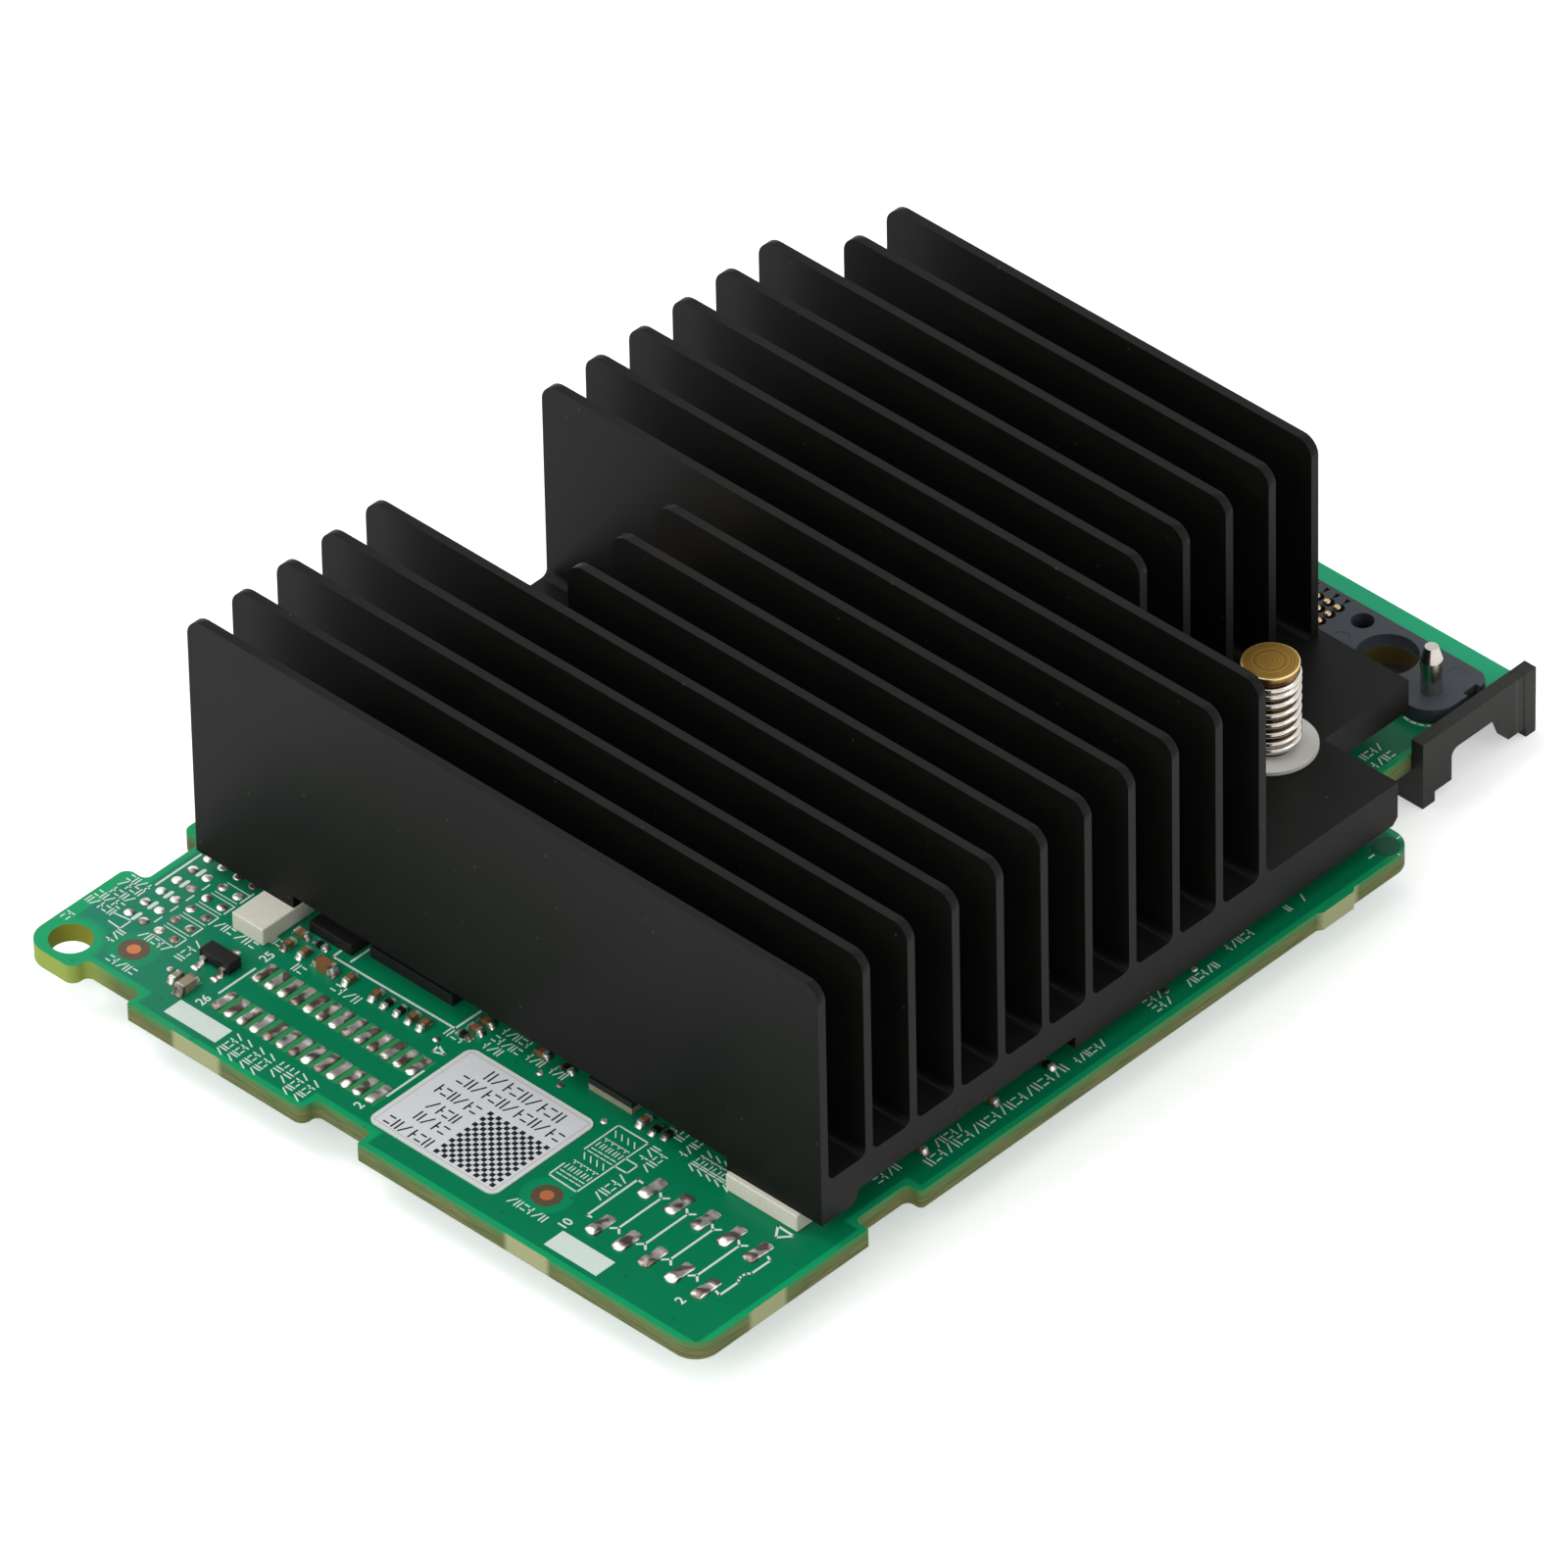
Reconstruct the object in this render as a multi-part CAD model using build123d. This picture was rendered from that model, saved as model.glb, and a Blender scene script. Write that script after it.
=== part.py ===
from build123d import *
import math
import os

# Host bus adapter: a mezzanine card whose finned heat sink is held by two sprung push pins.
# Sizes are in millimetres. X runs across the fins, Y along each fin and Z up.
# While it is built, x and y count from the card's left and front edges, and z from the board's top.

# Circuit board
board_length = 93.7
board_width = 66.3
board_thickness = 1.6
board_corner_radius = 2.0
tongue_length = 19.1
tongue_inset = 7.1
tongue_corner_radius = 1.0
notch_round = 0.8
notch_root_radius = 0.6
left_notch_depth = 1.5
left_notch_length = 5.5
left_notch_rear_inset = 5.1
left_notch_front_y = 38.4
front_notch_x = 17.4
front_notch_length = 5.4
front_notch_depth = 1.35
rear_notch_x = 10.6
rear_notch_length = 5.6
rear_notch_depth = 1.95
tab_stub_x = 64.0
tab_stub_length = 4.0
tab_stub_proud = 0.3
tab_stub_slope = 0.4
corner_hole_x = 2.34
corner_hole_inset = 2.64
corner_hole_radius = 1.65

# Heat sink
sink_left_x = 14.15
sink_front_y = 1.35
sink_rear_inset = 3.6
sink_top_z = 22.97
sink_base_top_z = 5.2
sink_foot_height = 1.5
sink_step_gap = 0.5
sink_connector_gap = 1.57
sink_tongue_front_y = 8.5
sink_tongue_rear_inset = 7.8
sink_tongue_height = 2.4
sink_edge_chamfer = 0.5
fin_count = 16
fin_end_margin = 0.4
fin_thickness = 0.75
fin_root_radius = 0.6
fin_front_corner_radius = 1.35
fin_rear_corner_radius = 1.6
rear_bay_first_fin = 6
rear_bay_last_fin = 8
rear_bay_depth = 3.7
front_bay_first_fin = 12
front_bay_depth = 6.0
foot_length = 3.25
foot_slope = 0.6
front_foot_width = 9.15
rear_foot_width = 9.7
relief_height = 2.6
relief_end_x = 40.2

# Push pins, their springs and washers
front_pin_groove = 13
front_pin_y = 10.9
rear_pin_groove = 7
rear_pin_inset = 15.5
pin_head_radius = 2.15
pin_head_height = 0.72
pin_shank_radius = 1.45
pin_hole_clearance = 0.1
pin_barb_radius = 1.85
pin_barb_gap = 0.1
pin_tip_radius = 0.9
pin_tip_length = 2.4
pin_split_width = 0.5
pin_split_depth = 3.2
spring_radius = 2.28
spring_wire_radius = 0.28
spring_length = 6.73
spring_turns = 8.0
spring_closed_turns = 1.5
spring_closed_gap = 0.03
spring_steps = 9
spring_wire_sides = 5
washer_radius = 3.5
washer_thickness = 0.3
washer_bore_clearance = 0.25

# Connector on the tongue
connector_end_gap = 2.6
connector_width = 6.33
connector_front_gap = 0.38
connector_height = 1.2
connector_end_radius = 2.4
connector_corner_radius = 1.5
connector_notch_offset = 3.63
connector_notch_length = 1.4
connector_notch_depth = 0.45
connector_pin_radius = 0.835
connector_pin_tip_radius = 0.5
connector_pin_tip_length = 1.13
connector_pin_height = 5.2
connector_pin_stem_radius = 0.65
connector_pin_clearance = 0.02
screw_hole_inset = 3.1
screw_hole_offset = 7.42
screw_hole_radius = 2.375
key_hole_inset = 1.41
key_hole_offset = 11.34
key_hole_radius = 0.88
contact_pitch = 1.0
contact_columns = 4
contact_rows = 25
contact_size = 0.56
contact_height = 0.28
contact_slope = 25.0
relief_slot_offset = 0.9
relief_slot_width = 0.42
relief_slot_length = 0.75
relief_slot_depth = 0.5

# Bracket under the tongue
bracket_reach = 11.8
bracket_proud = 0.37
bracket_end_wall = 1.12
bracket_lip_height = 1.3
bracket_wall_drop = 3.0
bracket_left_wall = 1.3
bracket_right_wall = 1.05
bracket_leg_drop = 2.1
bracket_left_leg = 3.1
bracket_right_leg = 3.3
bracket_arch_radius = 0.7
bracket_arch_top_z = -0.97
bracket_plate_thickness = 1.0
bracket_plate_front_y = 9.2
bracket_plate_gap = 0.05

# Chips and other parts soldered on the board
controller_size = 27.0
controller_height = 1.2
controller_lid_inset = 2.5
controller_lid_height = 0.7
memory_left_x = 15.2
memory_front_y = 38.3
memory_length = 12.0
memory_width = 8.2
memory_height = 1.0
flash_left_x = 14.35
flash_front_y = 47.5
flash_length = 5.0
flash_width = 4.2
flash_height = 0.95
oscillator_left_x = 15.2
oscillator_front_y = 20.75
oscillator_length = 2.6
oscillator_width = 4.2
oscillator_height = 1.1
inductor_size = 6.6
inductor_height = 2.1
inductor_left_x = 28.0
inductor_front_y = 10.0
inductor_pitch = 8.0
inductor_corner = 0.8
transistor_x = 7.55
transistor_y = 53.85
transistor_length = 2.9
transistor_width = 1.35
transistor_height = 1.0
transistor_standoff = 0.1
transistor_lead_width = 0.42
transistor_lead_reach = 0.55
transistor_lead_thickness = 0.14
transistor_lead_pitch = 1.9
chip_part_length = 1.0
chip_part_width = 0.5
capacitor_height = 0.5
resistor_height = 0.35
chip_part_cap = 0.25
large_part_scale = 1.6

# Soft spacers under the heat sink's feet
rear_spacer_left_x = 10.9
rear_spacer_length = 6.0
rear_spacer_front_y = 52.9
rear_spacer_width = 3.1
front_spacer_proud = 0.4
front_spacer_length = 3.4
front_spacer_front_y = 3.4
front_spacer_width = 6.9

# Solder pads and the label on the board's free end
pad_height = 0.08
fine_pad_pitch = 1.27
fine_pad_rows = 13
fine_pad_first_y = 35.5
fine_pad_left_x = 3.6
fine_pad_column_gap = 4.1
fine_pad_length = 2.35
fine_pad_width = 0.74
coarse_pad_pitch = 2.54
coarse_pad_rows = 5
coarse_pad_first_y = 3.95
coarse_pad_left_x = 3.85
coarse_pad_column_gap = 5.3
coarse_pad_length = 2.5
coarse_pad_width = 1.0
lamp_pad_radius = 0.38
lamp_pad_sides = 6
lamp_pad_first_x = 7.2
lamp_pad_pitch = 1.6125
lamp_pad_columns = 6
lamp_pad_rows_y = (58.12, 59.64, 61.2, 62.64)
label_left_x = 2.2
label_front_y = 21.8
label_length = 10.65
label_width = 12.4
label_thickness = 0.1
label_corner_radius = 0.8

# Where the small two-ended parts sit: centre x and y, and whether they lie along Y
capacitor_places = (
    (4.17, 54.94, False),
    (12.17, 51.56, False),
    (12.22, 50.09, False),
    (13.62, 51.71, True),
    (12.32, 45.65, False),
    (12.35, 43.04, False),
    (12.33, 39.4, False),
    (12.31, 38.26, False),
    (14.37, 35.21, True),
    (15.47, 35.21, True),
    (15.62, 29.91, True),
    (15.15, 19.45, False),
    (26.01, 3.14, True),
    (33.25, 3.05, True),
)
large_capacitor_places = (
    (3.95, 53.65, False),
    (12.05, 47.85, True),
)
resistor_places = (
    (13.66, 49.86, True),
    (12.31, 41.85, False),
    (12.32, 40.59, False),
    (13.44, 35.44, True),
    (15.65, 27.5, True),
    (15.1, 18.25, False),
    (15.36, 17.25, False),
    (38.77, 2.76, True),
)

# Turns of small parts on the board, in degrees
quarter_turn = 90
half_turn = 180

# Corners closer together than this meet in one point
touching = 1e-6

# Places that follow from the sizes above
board_middle_y = board_width / 2
board_bottom_z = -board_thickness
tongue_start = board_length - tongue_length
corner_hole_y = board_width - corner_hole_inset
left_notch_tops = (board_width - left_notch_rear_inset, left_notch_front_y)
connector_right_x = board_length - connector_end_gap
connector_left_x = connector_right_x - connector_width
connector_front_y = tongue_inset + connector_front_gap
connector_pin_x = connector_left_x + connector_end_radius
connector_pin_y = connector_front_y + connector_end_radius
screw_hole_x = connector_right_x - screw_hole_inset
screw_hole_y = connector_front_y + screw_hole_offset
key_hole_x = connector_right_x - key_hole_inset
key_hole_y = connector_front_y + key_hole_offset
bracket_left_x = board_length - bracket_reach
bracket_right_x = board_length + bracket_proud
sink_rear_y = board_width - sink_rear_inset
sink_step_x = tongue_start - sink_step_gap
sink_tongue_x = connector_left_x - sink_connector_gap
sink_tongue_rear_y = board_width - sink_tongue_rear_inset
fin_pitch = (sink_tongue_x - fin_end_margin - fin_thickness - sink_left_x) / (fin_count - 1)
rear_pin_y = board_width - rear_pin_inset
rear_bay_y = rear_pin_y - rear_bay_depth
front_bay_y = front_pin_y + front_bay_depth
pin_hole_radius = pin_shank_radius + pin_hole_clearance


def fin_left_x(number):
    """The left face of a fin, counted from 1."""
    return sink_left_x + (number - 1) * fin_pitch


def groove_middle_x(number):
    """The middle of the groove to the right of a fin."""
    return fin_left_x(number) + (fin_thickness + fin_pitch) / 2


pin_places = {
    "front": (groove_middle_x(front_pin_groove), front_pin_y),
    "rear": (groove_middle_x(rear_pin_groove), rear_pin_y),
}


def opposite(y):
    """The place that mirrors y about the card's middle line."""
    return 2 * board_middle_y - y


def block(x_range, y_range, z_range):
    """A plain block between two limits along each axis."""
    size = [limits[1] - limits[0] for limits in (x_range, y_range, z_range)]
    corner = Pos(x_range[0], y_range[0], z_range[0])
    return corner * Box(*size, align=(Align.MIN, Align.MIN, Align.MIN))


def rod(x, y, z_range, radius):
    """An upright cylinder between two heights."""
    height = z_range[1] - z_range[0]
    return Pos(x, y, z_range[0]) * Cylinder(radius, height, align=(Align.CENTER, Align.CENTER, Align.MIN))


def rounded_face(corners):
    """A flat face inside straight edges. Each corner is (x, y, radius), and a radius of 0 stays sharp."""
    count = len(corners)
    stretches = []
    for index, (x, y, radius) in enumerate(corners):
        here = Vector(x, y)
        before = (Vector(*corners[index - 1][:2]) - here).normalized()
        after = (Vector(*corners[(index + 1) % count][:2]) - here).normalized()
        if radius == 0:
            stretches.append((here, here, here))
            continue
        half_angle = math.radians(before.get_angle(after)) / 2
        reach = radius / math.tan(half_angle)
        centre = here + (before + after).normalized() * (radius / math.sin(half_angle))
        middle = centre + (here - centre).normalized() * radius
        stretches.append((here + before * reach, middle, here + after * reach))
    edges = []
    for index, (start, middle, end) in enumerate(stretches):
        if (end - start).length > touching:
            edges.append(ThreePointArc(start, middle, end))
        following = stretches[(index + 1) % count][0]
        if (following - end).length > touching:
            edges.append(Line(end, following))
    return make_face(edges)


def upright(face, z_range):
    """A face drawn in x and y, raised between two heights."""
    return extrude(Pos(0, 0, z_range[0]) * face, amount=z_range[1] - z_range[0])


def along_y(face, y_range):
    """A face drawn in x and z, drawn out between two places along Y."""
    return extrude(Pos(0, y_range[0], 0) * (Plane.XZ * face), amount=-(y_range[1] - y_range[0]))


def along_x(face, x_range):
    """A face drawn in y and z, drawn out between two places along X."""
    return extrude(Pos(x_range[0], 0, 0) * (Plane.YZ * face), amount=x_range[1] - x_range[0])


def both_ends(shape):
    """A shape at the connector's front end, with its mirror image at the rear end."""
    mirrored = mirror(shape, about=Plane.XZ.offset(-board_middle_y))
    return [shape, mirrored]


def board_outline():
    """The card's outline: a wide main part, a narrower tongue and the notches along its edges."""
    front_notch_end = front_notch_x + front_notch_length
    rear_notch_end = rear_notch_x + rear_notch_length
    stub_end = tab_stub_x + tab_stub_length
    rear_floor_y = board_width - rear_notch_depth
    corners = [
        (0, 0, board_corner_radius),
        (front_notch_x, 0, 0),
        (front_notch_x, front_notch_depth, notch_root_radius),
        (front_notch_end, front_notch_depth, notch_root_radius),
        (front_notch_end, 0, notch_round / 2),
        (tab_stub_x, 0, 0),
        (tab_stub_x + tab_stub_slope, -tab_stub_proud, 0),
        (stub_end - tab_stub_slope, -tab_stub_proud, 0),
        (stub_end, 0, 0),
        (tongue_start, 0, board_corner_radius),
        (tongue_start, tongue_inset, tongue_corner_radius),
        (board_length, tongue_inset, tongue_corner_radius),
        (board_length, opposite(tongue_inset), tongue_corner_radius),
        (tongue_start, opposite(tongue_inset), tongue_corner_radius),
        (tongue_start, board_width, board_corner_radius),
        (rear_notch_end, board_width, notch_round),
        (rear_notch_end, rear_floor_y, notch_root_radius),
        (rear_notch_x, rear_floor_y, notch_root_radius),
        (rear_notch_x, board_width, notch_round),
        (0, board_width, board_corner_radius),
    ]
    for notch_top in left_notch_tops:
        notch_bottom = notch_top - left_notch_length
        corners += [
            (0, notch_top, notch_round),
            (left_notch_depth, notch_top, notch_root_radius),
            (left_notch_depth, notch_bottom, notch_root_radius),
            (0, notch_bottom, 0),
        ]
    return rounded_face(corners)


def circuit_board():
    """The bare board with its corner hole, push pin holes and the connector's own holes."""
    thickness = (board_bottom_z, 0)
    board = upright(board_outline(), thickness)
    board -= rod(corner_hole_x, corner_hole_y, thickness, corner_hole_radius)
    for x, y in pin_places.values():
        board -= rod(x, y, thickness, pin_hole_radius)
    for hole in connector_holes(thickness):
        board -= hole
    return board


def connector_holes(z_range):
    """The screw holes and alignment pin holes that go through connector, board and bracket."""
    screw_hole = rod(screw_hole_x, screw_hole_y, z_range, screw_hole_radius)
    pin_hole_size = connector_pin_stem_radius + connector_pin_clearance
    pin_hole = rod(connector_pin_x, connector_pin_y, z_range, pin_hole_size)
    return both_ends(screw_hole) + both_ends(pin_hole)


def fin_comb():
    """The extruded section: the base with every fin, rounded at each fin's root."""
    corners = [
        (sink_left_x, sink_foot_height, 0),
        (sink_tongue_x, sink_foot_height, 0),
        (sink_tongue_x, sink_base_top_z, 0),
    ]
    for number in range(fin_count, 0, -1):
        left = fin_left_x(number)
        right = left + fin_thickness
        root = 0 if number == fin_count else fin_root_radius
        corners += [
            (right, sink_base_top_z, root),
            (right, sink_top_z, 0),
            (left, sink_top_z, 0),
        ]
        if number > 1:
            corners.append((left, sink_base_top_z, fin_root_radius))
    return along_y(rounded_face(corners), (sink_front_y, sink_rear_y))


def fin_groups():
    """Fins that end at the same places: first and last fin, and where they start and end along Y."""
    first_on_tongue = 1
    while fin_left_x(first_on_tongue) < sink_step_x:
        first_on_tongue += 1
    return [
        (1, rear_bay_first_fin - 1, sink_front_y, sink_rear_y),
        (rear_bay_first_fin, rear_bay_last_fin, sink_front_y, rear_bay_y),
        (rear_bay_last_fin + 1, front_bay_first_fin - 1, sink_front_y, sink_rear_y),
        (front_bay_first_fin, first_on_tongue - 1, front_bay_y, sink_rear_y),
        (first_on_tongue, fin_count, front_bay_y, sink_tongue_rear_y),
    ]


def fin_envelope():
    """What the milling leaves above the base: each group of fins, cut to length with round top corners."""
    gap = (fin_pitch - fin_thickness) / 2
    groups = []
    for first, last, start_y, end_y in fin_groups():
        outline = rounded_face([
            (start_y, sink_base_top_z, 0),
            (end_y, sink_base_top_z, 0),
            (end_y, sink_top_z, fin_rear_corner_radius),
            (start_y, sink_top_z, fin_front_corner_radius),
        ])
        x_range = (fin_left_x(first) - gap, fin_left_x(last) + fin_thickness + gap)
        groups.append(along_x(outline, x_range))
    return groups


def base_plate():
    """The base's plan: the full width up to the step, and the narrower tongue beyond it."""
    outline = rounded_face([
        (sink_left_x, sink_front_y, 0),
        (sink_step_x, sink_front_y, 0),
        (sink_step_x, sink_tongue_front_y, 0),
        (sink_tongue_x, sink_tongue_front_y, 0),
        (sink_tongue_x, sink_tongue_rear_y, 0),
        (sink_step_x, sink_tongue_rear_y, 0),
        (sink_step_x, sink_rear_y, 0),
        (sink_left_x, sink_rear_y, 0),
    ])
    return upright(outline, (sink_foot_height, sink_base_top_z))


def underside_reliefs():
    """Pockets milled under the base: a channel behind the feet, a gap between them and a step."""
    foot_end = sink_left_x + foot_length
    channel = along_y(rounded_face([
        (foot_end, sink_foot_height, 0),
        (relief_end_x, sink_foot_height, 0),
        (relief_end_x, relief_height, 0),
        (foot_end + foot_slope, relief_height, 0),
    ]), (sink_front_y, sink_rear_y))
    between_feet = block(
        (sink_left_x, relief_end_x),
        (sink_front_y + front_foot_width, sink_rear_y - rear_foot_width),
        (sink_foot_height, relief_height),
    )
    under_tongue = block(
        (sink_step_x, sink_tongue_x),
        (sink_front_y, sink_rear_y),
        (sink_foot_height, sink_tongue_height),
    )
    corner = along_y(rounded_face([
        (sink_step_x - sink_edge_chamfer, sink_foot_height, 0),
        (sink_step_x, sink_foot_height, 0),
        (sink_step_x, sink_foot_height + sink_edge_chamfer, 0),
    ]), (sink_front_y, sink_tongue_front_y))
    return [channel, between_feet, under_tongue, corner]


def heat_sink():
    """The black heat sink: an extruded comb of fins, milled to the card's plan and cleared for its pins."""
    envelope = base_plate()
    for group in fin_envelope():
        envelope += group
    sink = fin_comb() & envelope
    for relief in underside_reliefs():
        sink -= relief
    for x, y in pin_places.values():
        sink -= rod(x, y, (sink_foot_height, sink_base_top_z), pin_hole_radius)
    return sink


def push_pin(x, y):
    """A turned brass pin: a flat head, a shank, and a barbed tip with a slot so that it can squeeze in."""
    washer_top_z = sink_base_top_z + washer_thickness
    head_bottom_z = washer_top_z + spring_length
    head_top_z = head_bottom_z + pin_head_height
    barb_z = board_bottom_z - pin_barb_gap
    tip_z = barb_z - pin_tip_length
    profile = rounded_face([
        (0, tip_z, 0),
        (pin_tip_radius, tip_z, 0),
        (pin_barb_radius, barb_z, 0),
        (pin_shank_radius, barb_z, 0),
        (pin_shank_radius, head_bottom_z, 0),
        (pin_head_radius, head_bottom_z, 0),
        (pin_head_radius, head_top_z, 0),
        (0, head_top_z, 0),
    ])
    pin = revolve(Plane.XZ * profile, axis=Axis.Z)
    half_slot = pin_split_width / 2
    reach = 2 * pin_barb_radius
    slot = block((-half_slot, half_slot), (-reach, reach), (tip_z, tip_z + pin_split_depth))
    return Pos(x, y, 0) * (pin - slot)


def spring_path():
    """The coil's centre line in short steps: nearly closed turns at both ends, open ones between."""
    coil_radius = spring_radius - spring_wire_radius
    rise = spring_length - 2 * spring_wire_radius
    closed_pitch = 2 * spring_wire_radius + spring_closed_gap
    open_turns = spring_turns - 2 * spring_closed_turns
    open_pitch = (rise - 2 * spring_closed_turns * closed_pitch) / open_turns
    height = 0
    points = []
    for step in range(round(spring_turns * spring_steps) + 1):
        turn = step / spring_steps
        angle = 2 * math.pi * turn
        points.append((coil_radius * math.cos(angle), coil_radius * math.sin(angle), height))
        is_open = spring_closed_turns <= turn < spring_turns - spring_closed_turns
        height += (open_pitch if is_open else closed_pitch) / spring_steps
    return Polyline(*points)


def spring(x, y):
    """The coil spring between the washer and the pin's head."""
    start_z = sink_base_top_z + washer_thickness + spring_wire_radius
    path = spring_path()
    section = Plane(origin=path @ 0, z_dir=path % 0) * RegularPolygon(spring_wire_radius, spring_wire_sides)
    coil = sweep(section, path=path, transition=Transition.RIGHT)
    return Pos(x, y, start_z) * coil


def washer(x, y):
    """The white plastic washer under the spring."""
    z_range = (sink_base_top_z, sink_base_top_z + washer_thickness)
    bore = rod(x, y, z_range, pin_shank_radius + washer_bore_clearance)
    return rod(x, y, z_range, washer_radius) - bore


def contact_places():
    """The centre of each gold contact, in columns about the screw holes' line."""
    first_x = screw_hole_x - contact_pitch * (contact_columns - 1) / 2
    first_y = board_middle_y - contact_pitch * (contact_rows - 1) / 2
    return [
        (first_x + column * contact_pitch, first_y + row * contact_pitch)
        for column in range(contact_columns)
        for row in range(contact_rows)
    ]


def relief_slots():
    """A tapered blind slot beside each end contact of every row."""
    xs = [x for x, _ in contact_places()]
    depth = (connector_height - relief_slot_depth, connector_height)
    half_width = relief_slot_width / 2
    reach = relief_slot_length / 2
    slots = []
    for x, direction in ((max(xs), 1), (min(xs), -1)):
        point_x = x + direction * (relief_slot_offset - reach)
        wide_x = x + direction * (relief_slot_offset + reach)
        for y in sorted({place[1] for place in contact_places()}):
            taper = rounded_face([
                (point_x, y, 0),
                (wide_x, y - direction * half_width, 0),
                (wide_x, y + direction * half_width, 0),
            ])
            slots.append(upright(taper, depth))
    return slots


def connector_frame():
    """The moulded frame that holds the contact field, with rounded ends about its alignment pins."""
    notch_x = connector_left_x + connector_notch_offset
    notch_end = notch_x + connector_notch_length
    notch_y = connector_front_y + connector_notch_depth
    corner_radius = min(connector_corner_radius, connector_right_x - notch_end)
    front = [
        (connector_left_x, connector_front_y, connector_end_radius),
        (notch_x, connector_front_y, 0),
        (notch_x, notch_y, 0),
        (notch_end, notch_y, 0),
        (notch_end, connector_front_y, 0),
        (connector_right_x, connector_front_y, corner_radius),
    ]
    rear = [(x, opposite(y), radius) for x, y, radius in reversed(front)]
    height = (0, connector_height)
    frame = upright(rounded_face(front + rear), height)
    for hole in connector_holes(height) + both_ends(rod(key_hole_x, key_hole_y, height, key_hole_radius)):
        frame -= hole
    frame -= relief_slots()
    return frame


def connector_contacts():
    """The gold contacts that stand out of the frame."""
    top = Pos(0, 0, connector_height)
    button = extrude(top * Rectangle(contact_size, contact_size), amount=contact_height, taper=contact_slope)
    return [Pos(x, y, 0) * button for x, y in contact_places()]


def alignment_pins():
    """The steel pins that guide the mating connector: each stands on the frame, its stem in the plate."""
    bottom_z = board_bottom_z - bracket_plate_thickness
    shoulder_z = connector_pin_height - connector_pin_tip_length
    profile = rounded_face([
        (0, bottom_z, 0),
        (connector_pin_stem_radius, bottom_z, 0),
        (connector_pin_stem_radius, connector_height, 0),
        (connector_pin_radius, connector_height, 0),
        (connector_pin_radius, shoulder_z, 0),
        (connector_pin_tip_radius, connector_pin_height, 0),
        (0, connector_pin_height, 0),
    ])
    pin = revolve(Plane.XZ * profile, axis=Axis.Z)
    return both_ends(Pos(connector_pin_x, connector_pin_y, 0) * pin)


def bracket_end():
    """The bracket's front wall: a lip beside the board's edge, two legs and the arch between them."""
    leg_z = board_bottom_z - bracket_leg_drop
    foot_z = board_bottom_z - bracket_wall_drop
    left_leg_x = bracket_left_x + bracket_left_leg
    right_leg_x = bracket_right_x - bracket_right_leg
    outline = rounded_face([
        (bracket_left_x, bracket_lip_height, 0),
        (bracket_left_x, foot_z, 0),
        (bracket_left_x + bracket_left_wall, foot_z, 0),
        (bracket_left_x + bracket_left_wall, leg_z, 0),
        (left_leg_x, leg_z, 0),
        (left_leg_x, bracket_arch_top_z, bracket_arch_radius),
        (right_leg_x - bracket_arch_radius, bracket_arch_top_z, bracket_arch_radius),
        (right_leg_x + bracket_arch_radius / 2, leg_z, 0),
        (bracket_right_x - bracket_right_wall, leg_z, 0),
        (bracket_right_x - bracket_right_wall, foot_z, 0),
        (bracket_right_x, foot_z, 0),
        (bracket_right_x, bracket_lip_height, 0),
    ])
    wall_rear_y = tongue_inset - bracket_plate_gap
    return along_y(outline, (wall_rear_y - bracket_end_wall, wall_rear_y))


def connector_bracket():
    """The black moulded bracket: end walls, side walls and a backing plate under the tongue."""
    wall_front_y = tongue_inset - bracket_plate_gap
    wall_y = (wall_front_y, opposite(wall_front_y))
    foot_z = board_bottom_z - bracket_wall_drop
    wall_z = (foot_z, board_bottom_z)
    left_wall = block((bracket_left_x, bracket_left_x + bracket_left_wall), wall_y, wall_z)
    right_wall = block((bracket_right_x - bracket_right_wall, bracket_right_x), wall_y, wall_z)
    plate = block(
        (bracket_left_x, bracket_right_x),
        (bracket_plate_front_y, opposite(bracket_plate_front_y)),
        (board_bottom_z - bracket_plate_thickness, board_bottom_z),
    )
    for hole in connector_holes((board_bottom_z - bracket_plate_thickness, board_bottom_z)):
        plate -= hole
    bracket = left_wall + right_wall + plate
    for end in both_ends(bracket_end()):
        bracket += end
    return bracket


def controller_place():
    """The controller chip's centre, midway between the two push pins."""
    places = pin_places.values()
    return sum(x for x, _ in places) / len(places), sum(y for _, y in places) / len(places)


def controller_chip():
    """The controller: a square carrier with a smaller raised lid."""
    x, y = controller_place()
    half = controller_size / 2
    half_lid = half - controller_lid_inset
    lid_z = controller_height - controller_lid_height
    carrier = block((x - half, x + half), (y - half, y + half), (0, lid_z))
    lid = block((x - half_lid, x + half_lid), (y - half_lid, y + half_lid), (lid_z, controller_height))
    return carrier + lid


def thermal_pad():
    """The pad that fills the gap between the controller's lid and the heat sink."""
    x, y = controller_place()
    half = controller_size / 2 - controller_lid_inset
    return block((x - half, x + half), (y - half, y + half), (controller_height, sink_foot_height))


def moulded_chip(left_x, front_y, length, width, height):
    """A flat moulded chip on the board, with its front left corner at a place."""
    return block((left_x, left_x + length), (front_y, front_y + width), (0, height))


def memory_chip():
    """The wide memory chip, half under the heat sink's left edge."""
    return moulded_chip(memory_left_x, memory_front_y, memory_length, memory_width, memory_height)


def flash_chip():
    """The small chip behind the memory chip."""
    return moulded_chip(flash_left_x, flash_front_y, flash_length, flash_width, flash_height)


def oscillator():
    """The card's clock, a small box under the heat sink's left edge."""
    size = (oscillator_length, oscillator_width, oscillator_height)
    return moulded_chip(oscillator_left_x, oscillator_front_y, *size)


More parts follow.
